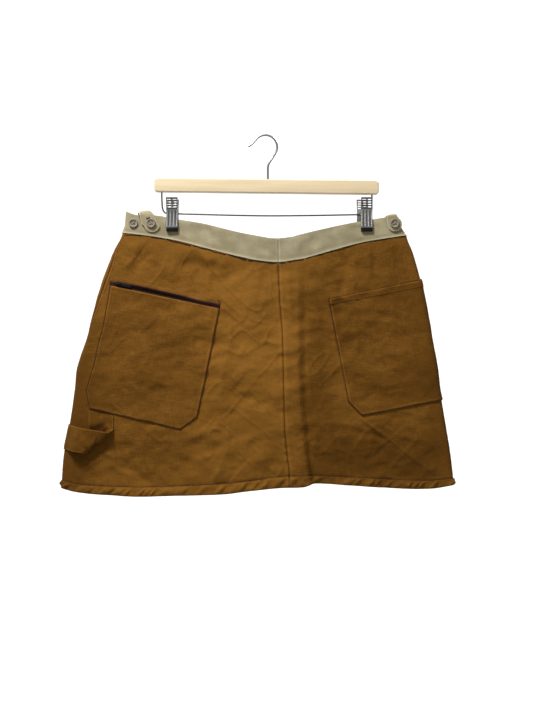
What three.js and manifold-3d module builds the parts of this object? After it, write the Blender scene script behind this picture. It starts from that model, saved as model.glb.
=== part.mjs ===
// A short cargo utility skirt of brown duck canvas with a khaki waistband, hung by two steel
// clips from a wooden hanger. Millimetres, +Z up, the front faces -Y, +X to the right of the
// front. The origin is the top of the inside of the hook, where a rail carries the hanger.
import * as THREE from 'three';
import { mergeVertices } from 'three/addons/utils/BufferGeometryUtils.js';
import Module from 'manifold-3d';

const wasm = await Module();
wasm.setup();

// Driving dimensions
const CANVAS = 1.5; // thickness of one panel
const WAISTBAND = 2.4; // thickness of the doubled waistband
const WAISTBAND_PROUD = 0.6; // how far the waistband stands in front of the panels
const SEAM_GAP = 0.3; // clear space between two pieces at a seam
const LIFT = 0.5; // clear space under what lies on a panel
const WAIST_ROUND = 5; // radius of the side folds at the waist
const HEM_ROUND = 7; // radius of the side folds at the hem
const FRONT_BELLY = 14; // how far the front hem swings out in the middle
const BACK_BELLY = 11;
const BELLY_FULL = 0.8; // share of the way down at which the belly is full
const HEM_PUFF = 1.7; // thickness that the turned hem adds
const HEM_GROOVE = 0.3; // how far its stitching draws the cloth in above it
const POCKET_HEM_PUFF = 0.8;
const BODY_START = 0.0008; // share of the way down at which the panels start, clear of the seam
const BODY_ROWS = 13; // rows of a panel between its seam and its hem, the same on all four
const BUTTON_RADIUS = 7.3;
const BUTTON_THICK = 2.8;
const TAB_THICK = 2;
const CLIP_WIDTH = 18.4;
const STEEL = 1.2; // thickness of the clip plates
const HANGER_LENGTH = 355;
const HANGER_HEIGHT = 21.7;
const HANGER_THICK = 12;
const HANGER_CENTRE = { x: 2, z: -80 };
const HANGER_TILT = THREE.MathUtils.degToRad(0.66);
const HOOK_WIRE = 3.5;
const HOOK_RADIUS = 18.9;
const FRAME_WIRE = 2.5;
const ZIP_ANGLE = THREE.MathUtils.degToRad(12.6); // the zip drops towards the centre front

// Side outline of the skirt. down: share of the way from the waist seam (0) to the hem (1),
// and -1 at the top of the waistband. left and right: where the side folds lie.
const SIDES = [
  { down: -1, left: -220, right: 206 },
  { down: 0, left: -227, right: 224 },
  { down: 0.07, left: -240, right: 234 },
  { down: 0.2, left: -260, right: 248 },
  { down: 0.35, left: -277, right: 259.5 },
  { down: 0.42, left: -284, right: 264 },
  { down: 0.53, left: -298, right: 271.5 },
  { down: 0.61, left: -301.5, right: 276 },
  { down: 0.74, left: -309, right: 284.5 },
  { down: 0.87, left: -319, right: 293 },
  { down: 1, left: -323, right: 299 },
];

// Edges that run across. across: -1 at the left side fold, 1 at the right. top: upper edge of
// the waistband. seam: waist seam. hem: lower edge. turn: height of the turned hem.
const ACROSS = [
  { across: -1, top: -120, seam: -154, hem: -557, turn: 13 },
  { across: -0.92, top: -126, seam: -156, hem: -563, turn: 13 },
  { across: -0.78, top: -126.5, seam: -160, hem: -567, turn: 14 },
  { across: -0.6, top: -133, seam: -167, hem: -569, turn: 15 },
  { across: -0.42, top: -140, seam: -178, hem: -567, turn: 15 },
  { across: -0.18, top: -153, seam: -192, hem: -565, turn: 17 },
  { across: -0.04, top: -159, seam: -198.5, hem: -560, turn: 16 },
  { across: 0.1, top: -163.5, seam: -201, hem: -555.5, turn: 18 },
  { across: 0.23, top: -161, seam: -197, hem: -552.5, turn: 18 },
  { across: 0.28, top: -158, seam: -195, hem: -548, turn: 13 },
  { across: 0.45, top: -149, seam: -184, hem: -551, turn: 13 },
  { across: 0.68, top: -138, seam: -169.5, hem: -556, turn: 14 },
  { across: 0.88, top: -131, seam: -162, hem: -557.5, turn: 13 },
  { across: 1, top: -127, seam: -158, hem: -552, turn: 11 },
];

// How far each wall of the waist stands out from the pinch of the clips
const WAIST_BELLY = [
  { x: -227, out: 0.5 },
  { x: -190, out: 1.5 },
  { x: -161, out: 0 },
  { x: -133, out: 0 },
  { x: -75, out: 5 },
  { x: 10, out: 8 },
  { x: 85, out: 5 },
  { x: 147, out: 0 },
  { x: 173, out: 0 },
  { x: 195, out: 1.2 },
  { x: 224, out: 0.5 },
];

// Seams that run down. x: where the centre seam lies. front: how far the side seam at the left
// lies in front of the side fold, or behind it when it is negative.
const CENTRE_SEAM = [
  { z: -150, x: 19.5 },
  { z: -250, x: 22 },
  { z: -310, x: 26.5 },
  { z: -363, x: 28 },
  { z: -420, x: 29 },
  { z: -465, x: 30.5 },
  { z: -505, x: 34 },
  { z: -530, x: 37 },
  { z: -570, x: 38.5 },
];
const LEFT_SEAM = [
  { down: -1, front: -3 },
  { down: -0.05, front: -2 },
  { down: 0, front: 1 },
  { down: 0.07, front: 5.5 },
  { down: 0.14, front: 9 },
  { down: 0.25, front: 8 },
  { down: 0.35, front: 3.5 },
  { down: 0.5, front: -3 },
  { down: 1, front: -4 },
];
const RIGHT_SEAM_BEHIND = 4; // how far the other side seam lies behind its fold

// The long fold beside the centre seam. x: its crest. deep: how far it drops past the crest.
const FOLD = [
  { z: -195, x: 49, deep: 0.5 },
  { z: -235, x: 50, deep: 2.5 },
  { z: -307, x: 52.5, deep: 4 },
  { z: -356, x: 53, deep: 4.5 },
  { z: -390, x: 48.5, deep: 5 },
  { z: -423, x: 47.5, deep: 5 },
  { z: -456, x: 53.5, deep: 5.5 },
  { z: -489, x: 58, deep: 6.5 },
  { z: -518, x: 62.5, deep: 7.5 },
  { z: -540, x: 68, deep: 8.5 },
  { z: -575, x: 72, deep: 9 },
];
const FOLD_ACROSS = 0.2; // about where it lies between the middle and the side
const FOLD_RISE = 46; // width of the slow rise to the crest
const FOLD_DROP = 9; // width of the drop past it
const FOLD_TROUGH = 0.25; // how far it sinks below the cloth there, as a share of its height
const FOLD_CALM = 50; // from the crest to where the cloth is calm again

// Softer folds of the cloth, each along a line from one end to the other, front and back.
// out: height of a ridge, or depth of a trough when it is negative. wide: half its width.
const CREASES = [
  { side: 'front', x1: 162, z1: -462, x2: 258, z2: -529, wide: 12, out: 1.6 },
  { side: 'front', x1: 112, z1: -206, x2: 120, z2: -244, wide: 12, out: -1.5 },
  { side: 'front', x1: -178, z1: -183, x2: -216, z2: -222, wide: 13, out: -1.6 },
  { side: 'front', x1: -135, z1: -178, x2: -150, z2: -225, wide: 14, out: 1.4 },
  { side: 'front', x1: -20, z1: -215, x2: -34, z2: -420, wide: 22, out: 1.6 },
  { side: 'front', x1: 120, z1: -470, x2: 150, z2: -548, wide: 16, out: -1.8 },
  { side: 'front', x1: -180, z1: -480, x2: -120, z2: -556, wide: 20, out: -1.6 },
  { side: 'front', x1: -60, z1: -470, x2: -84, z2: -558, wide: 18, out: 1.6 },
  { side: 'front', x1: 205, z1: -180, x2: 232, z2: -222, wide: 11, out: -1.3 },
  { side: 'back', x1: 110, z1: -200, x2: 140, z2: -420, wide: 20, out: -2 },
  { side: 'back', x1: -120, z1: -185, x2: -170, z2: -380, wide: 22, out: -2 },
  { side: 'back', x1: -200, z1: -400, x2: -150, z2: -560, wide: 24, out: 2.2 },
  { side: 'back', x1: 190, z1: -430, x2: 160, z2: -556, wide: 24, out: 2.2 },
];

// Right pocket (the wearer's), with the zip along its top. share: of the way down the edge.
const RIGHT_POCKET = {
  left: [
    { share: 0, x: -245, z: -234.5 },
    { share: 0.3, x: -257, z: -304 },
    { share: 0.4, x: -263, z: -323 },
    { share: 0.58, x: -271, z: -361 },
    { share: 0.84, x: -283, z: -402 },
    { share: 1, x: -277, z: -431.5 },
  ],
  right: [
    { share: 0, x: -71, z: -272.5 },
    { share: 0.28, x: -81, z: -323 },
    { share: 0.6, x: -94, z: -390 },
    { share: 0.84, x: -106, z: -444 },
    { share: 1, x: -133, z: -463 },
  ],
};
// Strip above the zip, and the zip itself in the slit between the strip and the patch
const ZIP_STRIP = {
  left: { x: -245, top: -222, bottom: -229 },
  right: { x: -71, top: -261.5, bottom: -268.5 },
};
const ZIP_SLIT = { left: -238.5, right: -85 };
const ZIP_THICK = 0.8;
const SLIDER_X = -231;

// Left pocket (the wearer's). Its right edge runs round the side fold to the back.
const LEFT_POCKET = {
  left: [
    { share: 0, x: 98, z: -257.5 },
    { share: 0.2, x: 104, z: -290 },
    { share: 0.84, x: 129, z: -420 },
    { share: 1, x: 151, z: -442 },
  ],
  right: [
    { share: 0, x: 253, z: -225 },
    { share: 0.2, x: 263, z: -262 },
    { share: 0.84, x: 300, z: -385 },
    { share: 1, x: 309, z: -413 },
  ],
};
const LEFT_POCKET_HEM = 13;
const LEFT_POCKET_DEEP = 190;

// Hammer loop: a flat strap that hangs from the pocket, rolls over a slanting line and runs
// to the side seam. rollX, rollZ: where the slanting line meets the strap's right edge.
// length: of the strap once unrolled, from the pocket to its end. sinksFrom, sinksTo: distances
// from the side fold between which it comes down to the cloth.
const LOOP = {
  left: -277.5,
  width: 39,
  topLeft: -434.6,
  topRight: -442.6,
  thick: 1.6,
  rollX: -238.5,
  rollZ: -456,
  slant: THREE.MathUtils.degToRad(40.5),
  rollRadius: 6,
  length: 123,
  sinksFrom: 20,
  sinksTo: 3,
};

// Numbers between numbers
const mix = (a, b, share) => a + (b - a) * share;
const clamp = (value, low, high) => Math.min(high, Math.max(low, value));
const ease = (low, high, value) => {
  const share = clamp((value - low) / (high - low), 0, 1);
  return share * share * (3 - 2 * share);
};

// A column of a table at any place along its first column, on a smooth curve through its rows
function read(table, place, column, key = Object.keys(table[0])[0]) {
  const down = table[0][key] > table[1][key] ? -1 : 1;
  let row = 0;
  while (row < table.length - 2 && down * place > down * table[row + 1][key]) row += 1;
  const [before, a, b, after] = [-1, 0, 1, 2].map((step) => table[clamp(row + step, 0, table.length - 1)]);
  const share = clamp((place - a[key]) / (b[key] - a[key]), 0, 1);
  const span = b[key] - a[key];
  const slopeA = (b[column] - before[column]) / (b[key] - before[key]) * span;
  const slopeB = (after[column] - a[column]) / (after[key] - a[key]) * span;
  const [s2, s3] = [share ** 2, share ** 3];
  return (2 * s3 - 3 * s2 + 1) * a[column] + (s3 - 2 * s2 + share) * slopeA
    + (3 * s2 - 2 * s3) * b[column] + (s3 - s2) * slopeB;
}

// The flattened tube at one level: middle of the front, half its flat width, fold radius
function section(down) {
  const left = read(SIDES, down, 'left');
  const right = read(SIDES, down, 'right');
  const round = mix(WAIST_ROUND, HEM_ROUND, clamp(down, 0, 1));
  return { middle: (left + right) / 2, flat: (right - left) / 2 - round, round };
}

function height(across, down) {
  const seam = read(ACROSS, across, 'seam');
  const end = down < 0 ? read(ACROSS, across, 'top') : read(ACROSS, across, 'hem');
  return mix(seam, end, Math.abs(down));
}

function foldOut(x, z) {
  const crest = read(FOLD, z, 'x');
  const deep = read(FOLD, z, 'deep') * ease(-185, -225, z);
  if (x <= crest) return deep * ease(crest - FOLD_RISE, crest - 4, x);
  const drop = ease(crest, crest + FOLD_DROP, x);
  const recovery = ease(crest + FOLD_DROP, crest + FOLD_CALM, x);
  return deep * (1 - (1 + FOLD_TROUGH) * drop + FOLD_TROUGH * recovery);
}

function creaseOut(side, x, z) {
  let out = 0;
  for (const crease of CREASES.filter((row) => row.side === side)) {
    const along = new THREE.Vector2(crease.x2 - crease.x1, crease.z2 - crease.z1);
    const from = new THREE.Vector2(x - crease.x1, z - crease.z1);
    const share = from.dot(along) / along.lengthSq();
    const aside = from.cross(along) / along.length() / crease.wide;
    out += crease.out * Math.exp(-aside * aside) * ease(-0.15, 0.3, share) * ease(1.2, 0.7, share);
  }
  return out;
}

// The outer face of the cloth. run: distance along the cloth from the middle of the front, on
// round the right side fold to the back. down: as in SIDES.
function skin(run, down) {
  const { middle, flat, round } = section(down);
  const whole = 4 * flat + 2 * Math.PI * round;
  const place = run < -flat ? run + whole : run;
  const belly = ease(0, BELLY_FULL, down);
  const arch = (x) => 1 - ((x - middle) / flat) ** 2;
  const bell = (x, full) => mix(read(WAIST_BELLY, x, 'out'), full * arch(x), belly);
  // Folds and creases fade out towards the side folds
  const calm = (x) => 1 - ((x - middle) / flat) ** 10;
  const point = (x, depth) => {
    const z = height(clamp((x - middle) / (flat + round), -1, 1), down);
    return new THREE.Vector3(x, depth(z), z);
  };
  if (place <= flat) {
    const x = middle + place;
    const folds = (z) => calm(x) * (foldOut(x, z) + creaseOut('front', x, z));
    return point(x, (z) => -round - bell(x, FRONT_BELLY) - folds(z));
  }
  if (place < flat + Math.PI * round) {
    const turn = (place - flat) / round;
    const edge = round + bell(middle + flat, 0);
    return point(middle + flat + round * Math.sin(turn), () => -edge * Math.cos(turn));
  }
  if (place <= 3 * flat + Math.PI * round) {
    const x = middle + 2 * flat + Math.PI * round - place;
    return point(x, (z) => round + bell(x, BACK_BELLY) + calm(x) * creaseOut('back', x, z));
  }
  const turn = (place - 3 * flat - Math.PI * round) / round;
  const edge = round + bell(middle - flat, 0);
  return point(middle - flat - round * Math.sin(turn), () => edge * Math.cos(turn));
}

// A point that stands off the outer face by out, inwards when it is negative. It keeps its
// height, so pieces that meet at a level seam stay apart through their whole thickness.
function off(run, down, out) {
  const step = 0.4; // millimetres to each side between which the face's direction is taken
  const across = skin(run + step, down).sub(skin(run - step, down));
  return skin(run, down).addScaledVector(new THREE.Vector3(across.y, -across.x, 0).normalize(), out);
}

// Where a place seen from the front lies on the cloth. Past a side fold x is measured on round it.
function locate(x, z) {
  let down = 0.5;
  for (let pass = 0; pass < 8; pass += 1) {
    const { middle, flat, round } = section(down);
    const across = clamp((x - middle) / (flat + round), -1, 1);
    const seam = read(ACROSS, across, 'seam');
    const end = read(ACROSS, across, z > seam ? 'top' : 'hem');
    down = (seam - z) / Math.abs(seam - end);
  }
  return { run: x - section(down).middle, down };
}

function geometryOf(points, index) {
  const geometry = new THREE.BufferGeometry();
  const positions = points.flatMap((point) => point.toArray());
  geometry.setAttribute('position', new THREE.Float32BufferAttribute(positions, 3));
  geometry.setIndex(index);
  geometry.computeVertexNormals();
  return geometry;
}

// A closed wall between two matching grids of points, rows down and columns to the right
function wall(outer, inner) {
  const [rows, columns] = [outer.length, outer[0].length];
  const at = (side, row, column) => (side * rows + row) * columns + column;
  const index = [];
  const quad = (a, b, c, d) => index.push(a, b, c, a, c, d);
  for (let i = 0; i < rows - 1; i += 1) {
    for (let j = 0; j < columns - 1; j += 1) {
      quad(at(0, i, j), at(0, i + 1, j), at(0, i + 1, j + 1), at(0, i, j + 1));
      quad(at(1, i, j), at(1, i, j + 1), at(1, i + 1, j + 1), at(1, i + 1, j));
    }
    const last = columns - 1;
    quad(at(0, i, 0), at(1, i, 0), at(1, i + 1, 0), at(0, i + 1, 0));
    quad(at(0, i, last), at(0, i + 1, last), at(1, i + 1, last), at(1, i, last));
  }
  for (let j = 0; j < columns - 1; j += 1) {
    const last = rows - 1;
    quad(at(0, 0, j), at(0, 0, j + 1), at(1, 0, j + 1), at(1, 0, j));
    quad(at(0, last, j + 1), at(0, last, j), at(1, last, j), at(1, last, j + 1));
  }
  return geometryOf([...outer.flat(), ...inner.flat()], index);
}

// Evenly spaced numbers between each two stops, steps giving how many to a stretch
function spaced(stops, steps) {
  const numbers = [stops[0]];
  steps.forEach((count, stretch) => {
    for (let step = 1; step <= count; step += 1) {
      numbers.push(mix(stops[stretch], stops[stretch + 1], step / count));
    }
  });
  return numbers;
}

// Runs of the seams at a level
const leftSeam = (down) => {
  const { flat, round } = section(down);
  return -flat - round * Math.PI / 2 + read(LEFT_SEAM, down, 'front');
};
const rightSeam = (down) => {
  const { flat, round } = section(down);
  return flat + round * Math.PI / 2 + RIGHT_SEAM_BEHIND;
};
const centreSeam = (down) => {
  const { middle, flat, round } = section(down);
  const { x: halfway } = CENTRE_SEAM[3]; // near enough to tell the seam's height at this level
  return read(CENTRE_SEAM, height((halfway - middle) / (flat + round), down), 'x') - middle;
};
const wholeRun = (down) => {
  const { flat, round } = section(down);
  return 4 * flat + 2 * Math.PI * round;
};
const backSeam = (down) => {
  const { middle, flat, round } = section(down);
  return 2 * flat + Math.PI * round + middle;
};

// How far the turned hem makes the outer face stand out, by the share of its height from the top
const hemPuff = (share) => {
  const rounded = HEM_PUFF * Math.sqrt(Math.max(0, 1 - (2 * share - 1) ** 2));
  return share === 0 ? -HEM_GROOVE : rounded;
};

const runsOf = (columns, down) => spaced(columns.runs(down), columns.steps);

// Rows of a panel: body is the share of the way to the turned hem, hem the share across the turn
const PANEL_ROWS = [
  ...spaced([BODY_START, 1], [BODY_ROWS]).slice(0, -1).map((body) => ({ body })),
  ...[0, 0.14, 0.5, 0.86, 1].map((hem) => ({ hem })),
];

// One panel of the body
function panel(columns) {
  const count = runsOf(columns, 0).length;
  const grid = (outOf) => PANEL_ROWS.map((row) => Array.from({ length: count }, (_, column) => {
    let down = row.body ?? 1;
    // The turn of the hem follows the lower edge, so its share of the way varies across
    for (let pass = 0; pass < 3; pass += 1) {
      const { middle, flat, round } = section(down);
      const { x } = skin(runsOf(columns, down)[column], down);
      const across = clamp((x - middle) / (flat + round), -1, 1);
      const long = read(ACROSS, across, 'seam') - read(ACROSS, across, 'hem');
      const turn = read(ACROSS, across, 'turn') / long;
      down = 'body' in row ? row.body * (1 - turn) : 1 - turn * (1 - row.hem);
    }
    return off(runsOf(columns, down)[column], down, outOf(row));
  }));
  return wall(grid((row) => ('hem' in row ? hemPuff(row.hem) : 0)), grid(() => -CANVAS));
}

const HALF_GAP = SEAM_GAP / 2;

// Columns of each stretch of cloth, from seam to seam. runs: where the stops lie at a level.
// steps: columns between two stops. The panels and the waistband above them share these.
const COLUMNS = {
  front_right: {
    runs: (down) => {
      const { flat } = section(down);
      const foldEnd = Math.max(-flat, leftSeam(down) + 3);
      return [leftSeam(down) + HALF_GAP, foldEnd, centreSeam(down) - HALF_GAP];
    },
    steps: [3, 15],
  },
  front_left: {
    runs: (down) => {
      const { middle, flat, round } = section(down);
      const crest = read(FOLD, height(FOLD_ACROSS, down), 'x') - middle;
      const side = flat + round * Math.PI / 2;
      return [
        centreSeam(down) + HALF_GAP, crest - 2, crest + FOLD_DROP, flat, side, rightSeam(down) - HALF_GAP,
      ];
    },
    steps: [3, 4, 10, 4, 1],
  },
  back_left: {
    runs: (down) => {
      const { flat, round } = section(down);
      return [rightSeam(down) + HALF_GAP, flat + Math.PI * round, backSeam(down) - HALF_GAP];
    },
    steps: [2, 9],
  },
  back_right: {
    runs: (down) => {
      const { flat, round } = section(down);
      const end = leftSeam(down) + wholeRun(down) - HALF_GAP;
      return [backSeam(down) + HALF_GAP, 3 * flat + Math.PI * round, end];
    },
    steps: [9, 6],
  },
};
const panels = {
  front_panel_right: panel(COLUMNS.front_right),
  front_panel_left: panel(COLUMNS.front_left),
  back_panel_left: panel(COLUMNS.back_left),
  back_panel_right: panel(COLUMNS.back_right),
};

// A stretch of the waistband, doubled cloth with a slightly rolled lower edge
function waistband(runsAt) {
  const rows = [
    { down: -1, out: WAISTBAND_PROUD },
    { down: -0.62, out: WAISTBAND_PROUD },
    { down: -0.3, out: WAISTBAND_PROUD },
    { down: -0.12, out: WAISTBAND_PROUD + 0.1 },
    { down: -0.01, out: WAISTBAND_PROUD - 0.1 },
  ];
  const line = (row, out) => runsAt(row.down).map((run) => off(run, row.down, out));
  return wall(
    rows.map((row) => line(row, row.out)),
    rows.map((row) => line(row, WAISTBAND_PROUD - WAISTBAND)),
  );
}
const bands = {
  waistband_front_right: waistband((down) => runsOf(COLUMNS.front_right, down)),
  waistband_front_left: waistband((down) => runsOf(COLUMNS.front_left, down)),
  waistband_back: waistband((down) => [
    ...runsOf(COLUMNS.back_left, down).slice(0, -1),
    backSeam(down),
    ...runsOf(COLUMNS.back_right, down).slice(1),
  ]),
};

// A patch of cloth on the front, ruled between its left and right edges. placesOf gives the x
// of its columns from the two ends of a row.
function patch(edges, shares, placesOf, thick, puff = () => 0) {
  const end = (edge, share) => ({ x: read(edge, share, 'x'), z: read(edge, share, 'z') });
  const grid = (out) => shares.map((share) => {
    const [left, right] = [end(edges.left, share), end(edges.right, share)];
    return placesOf(left, right).map((x) => {
      const z = mix(left.z, right.z, (x - left.x) / (right.x - left.x));
      const { run, down } = locate(x, z);
      return off(run, down, out(share));
    });
  });
  return wall(grid((share) => LIFT + thick + puff(share)), grid(() => LIFT));
}
const even = (count) => spaced([0, 1], [count]);
const evenPlaces = (count) => (left, right) => spaced([left.x, right.x], [count]);
// Columns that crowd together where the pocket runs round the side fold
const roundTheSide = (left, right) => {
  const { middle, flat, round } = section(locate(right.x, right.z).down);
  const bend = middle + flat - 1; // just before the fold, and straight is just past it
  const straight = Math.min(bend + Math.PI * round + 2, right.x - 1.5);
  return spaced([left.x, bend, straight, right.x], [9, 8, 1]);
};

const pocketHemShare = LEFT_POCKET_HEM / LEFT_POCKET_DEEP;
const strip = (topLeft, bottomLeft, topRight, bottomRight, left, right) => ({
  left: [{ share: 0, x: left, z: topLeft }, { share: 1, x: left, z: bottomLeft }],
  right: [{ share: 0, x: right, z: topRight }, { share: 1, x: right, z: bottomRight }],
});
const slitTop = (x) => {
  const share = (x - ZIP_STRIP.left.x) / (ZIP_STRIP.right.x - ZIP_STRIP.left.x);
  return mix(ZIP_STRIP.left.bottom, ZIP_STRIP.right.bottom, share);
};
const slitBottom = (x) => {
  const [left, right] = [RIGHT_POCKET.left[0], RIGHT_POCKET.right[0]];
  return mix(left.z, right.z, (x - left.x) / (right.x - left.x));
};
const zipEdges = strip(
  slitTop(ZIP_SLIT.left) - SEAM_GAP, slitBottom(ZIP_SLIT.left) + SEAM_GAP,
  slitTop(ZIP_SLIT.right) - SEAM_GAP, slitBottom(ZIP_SLIT.right) + SEAM_GAP,
  ZIP_SLIT.left, ZIP_SLIT.right,
);
const patches = {
  pocket_right: patch(RIGHT_POCKET, spaced([0, 0.84, 1], [9, 2]), evenPlaces(10), CANVAS),
  pocket_right_strip: patch(
    strip(ZIP_STRIP.left.top, ZIP_STRIP.left.bottom, ZIP_STRIP.right.top, ZIP_STRIP.right.bottom,
      ZIP_STRIP.left.x, ZIP_STRIP.right.x),
    even(1), evenPlaces(10), CANVAS,
  ),
  zip_tape: patch(zipEdges, even(1), evenPlaces(8), ZIP_THICK),
  pocket_left: patch(
    LEFT_POCKET, spaced([0, pocketHemShare, 0.84, 1], [2, 8, 2]), roundTheSide, CANVAS,
    (share) => POCKET_HEM_PUFF * (share <= pocketHemShare),
  ),
};

// The hammer loop. The strap is laid out flat, and what lies past the slanting line is rolled
// over it, turned back on itself and eased down to the side seam.
function hammerLoop() {
  const past = new THREE.Vector2(Math.sin(LOOP.slant), -Math.cos(LOOP.slant));
  const rolled = Math.PI * LOOP.rollRadius;
  const rows = [
    ...spaced([0, 1], [3]).slice(0, -1).map((share) => ({ kind: 'above', share })),
    ...spaced([0, rolled], [8]).map((beyond) => ({ kind: 'roll', beyond })),
    ...spaced([0, 1], [22]).slice(1).map((share) => ({ kind: 'band', share })),
  ];
  const columns = even(4);
  const rollStart = new THREE.Vector2(LOOP.rollX, LOOP.rollZ);
  // back: distance from the middle of the strap to the face that lies on the cloth above the
  // roll. Past the roll that face looks outwards.
  const lay = (row, column, back) => {
    const x = LOOP.left + LOOP.width * column;
    const lineZ = LOOP.rollZ - (LOOP.rollX - x) * Math.tan(LOOP.slant);
    const topZ = mix(LOOP.topLeft, LOOP.topRight, column);
    const rollEndZ = lineZ - rolled / Math.cos(LOOP.slant);
    const endZ = topZ - LOOP.length;
    let z = mix(topZ, lineZ, row.share);
    if (row.kind === 'roll') z = lineZ - row.beyond / Math.cos(LOOP.slant);
    if (row.kind === 'band') z = mix(rollEndZ, endZ, row.share);
    const flat = new THREE.Vector2(x, z);
    const beyond = Math.max(0, flat.clone().sub(rollStart).dot(past));
    const turn = Math.min(beyond / LOOP.rollRadius, Math.PI);
    const reach = (LOOP.rollRadius + back) * Math.sin(turn) - Math.max(0, beyond - rolled);
    flat.addScaledVector(past, reach - beyond);
    const rise = LOOP.rollRadius - (LOOP.rollRadius + back) * Math.cos(turn);
    const { run, down } = locate(flat.x, flat.y);
    const { middle, flat: half, round } = section(down);
    const toFold = flat.x - (middle - half - round);
    const sunk = row.kind === 'band' ? 1 - ease(LOOP.sinksTo, LOOP.sinksFrom, toFold) : 0;
    return off(run, down, LIFT + LOOP.thick / 2 + mix(rise, back, sunk));
  };
  const side = (back) => rows.map((row) => columns.map((column) => lay(row, column, back)));
  return wall(side(-LOOP.thick / 2), side(LOOP.thick / 2));
}

// A tab that comes over the top of the waistband from the back and hangs down the front, where
// its round end is buttoned. arch: how high it stands over the edge. behind: its length there.
// taper: share of its half width that it keeps at the top, on the side to the right as seen.
// shoulder: how much of the arch is lost on that side.
const TABS = {
  waist_tab_right: {
    topX: -186, tipX: -178.5, tipZ: -153.2, width: 25, arch: 6.5, behind: 13, taper: 0.75, shoulder: 0.8,
  },
  waist_tab_left: {
    topX: 203, tipX: 204, tipZ: -152, width: 23.5, arch: 2.2, behind: 13, taper: 0.4, shoulder: 0.6,
  },
};
// The face of the waistband at a place, front or back, moved out
function bandFace(x, z, back, out) {
  const { down } = locate(x, z);
  const { middle, flat, round } = section(down);
  const inside = clamp(x, middle - flat, middle + flat);
  const run = back ? 2 * flat + Math.PI * round + middle - inside : inside - middle;
  return skin(run, down).y + (back ? out : -out);
}
function tab({ topX, tipX, tipZ, width, arch, behind, taper, shoulder }) {
  const bottom = WAISTBAND_PROUD + LIFT;
  const rounding = width / 2;
  const edgeZ = (x) => {
    const { middle, flat, round } = section(-1);
    return height(clamp((x - middle) / (flat + round), -1, 1), -1);
  };
  const rows = [
    ...[0.1, 0.3, 0.6, 1].map((share) => ({ part: 'front', below: share * rounding })),
    ...spaced([0, 1], [2]).slice(1).map((share) => ({ part: 'front', share })),
    ...spaced([0, Math.PI], [7]).slice(1).map((turn) => ({ part: 'over', turn })),
    { part: 'behind', below: behind },
  ].reverse();
  const lay = (row, column, out) => {
    const short = row.part === 'front' && row.below ? rounding - row.below : 0;
    let high = 1;
    if (row.part === 'front') high = row.below ? 0 : row.share;
    const drawnIn = column > 0 ? mix(1, taper, ease(0.2, 1, high)) : 1;
    const side = Math.sqrt(rounding ** 2 - short ** 2) * column * drawnIn;
    const topZ = edgeZ(topX + side);
    let z = topZ;
    if (row.part === 'front') z = row.below ? tipZ + row.below : mix(tipZ + rounding, topZ, row.share);
    const x = mix(tipX, topX, clamp((z - tipZ) / (topZ - tipZ), 0, 1)) + side;
    if (row.part === 'front') return new THREE.Vector3(x, bandFace(x, z, false, bottom + out), z);
    if (row.part === 'behind') {
      return new THREE.Vector3(x, bandFace(x, topZ - row.below, true, bottom + out), topZ - row.below);
    }
    const front = bandFace(x, topZ, false, bottom + out);
    const back = bandFace(x, topZ, true, bottom + out);
    const y = (front + back) / 2 - Math.cos(row.turn) * (back - front) / 2;
    const lift = arch * (1 - shoulder * Math.max(0, column) ** 2.5) + out;
    return new THREE.Vector3(x, y, topZ + lift * Math.sin(row.turn));
  };
  const side = (out) => rows.map((row) => spaced([-1, 1], [4]).map((column) => lay(row, column, out)));
  return wall(side(TAB_THICK), side(0));
}

// A closed mesh as a solid that can be joined and cut, and back again
function solid(geometry, matrix = new THREE.Matrix4()) {
  const bare = geometry.clone().applyMatrix4(matrix);
  bare.deleteAttribute('normal');
  bare.deleteAttribute('uv');
  const merged = mergeVertices(bare, 1e-4);
  return new wasm.Manifold(new wasm.Mesh({
    numProp: 3,
    vertProperties: new Float32Array(merged.attributes.position.array),
    triVerts: new Uint32Array(merged.index.array),
  }));
}
function meshed(manifold) {
  const { vertProperties, triVerts } = manifold.getMesh();
  const geometry = new THREE.BufferGeometry();
  geometry.setAttribute('position', new THREE.Float32BufferAttribute(vertProperties, 3));
  geometry.setIndex([...triVerts]);
  geometry.computeVertexNormals();
  return geometry;
}
const moved = (x, y, z) => new THREE.Matrix4().makeTranslation(x, y, z);

// Four-hole button with a rim, its back at the origin and its face towards +y
const BUTTON_PROFILE = [
  { radius: 0, out: 0 },
  { radius: 6.4, out: 0 },
  { radius: BUTTON_RADIUS, out: 0.9 },
  { radius: BUTTON_RADIUS, out: 1.9 },
  { radius: 6.5, out: BUTTON_THICK },
  { radius: 5.4, out: 2.5 },
  { radius: 4.6, out: 1.5 },
  { radius: 0, out: 1.5 },
];
const BUTTON_HOLE = { radius: 0.85, aside: 1.65 };
function button() {
  const outline = BUTTON_PROFILE.map((point) => new THREE.Vector2(point.radius, point.out));
  let body = solid(new THREE.LatheGeometry(outline, 20));
  const hole = new THREE.CylinderGeometry(BUTTON_HOLE.radius, BUTTON_HOLE.radius, 6, 6);
  for (const x of [-1, 1]) {
    for (const z of [-1, 1]) {
      body = body.subtract(solid(hole, moved(x * BUTTON_HOLE.aside, 1, z * BUTTON_HOLE.aside)));
    }
  }
  return meshed(body);
}
const onBand = WAISTBAND_PROUD + SEAM_GAP;
const onTab = WAISTBAND_PROUD + LIFT + TAB_THICK + SEAM_GAP;
const BUTTONS = {
  button_spare: { x: -207.8, z: -139, on: onBand },
  button_right: { x: -179.8, z: -139.3, on: onTab },
  button_left: { x: 203.8, z: -139.5, on: onTab },
};

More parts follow.
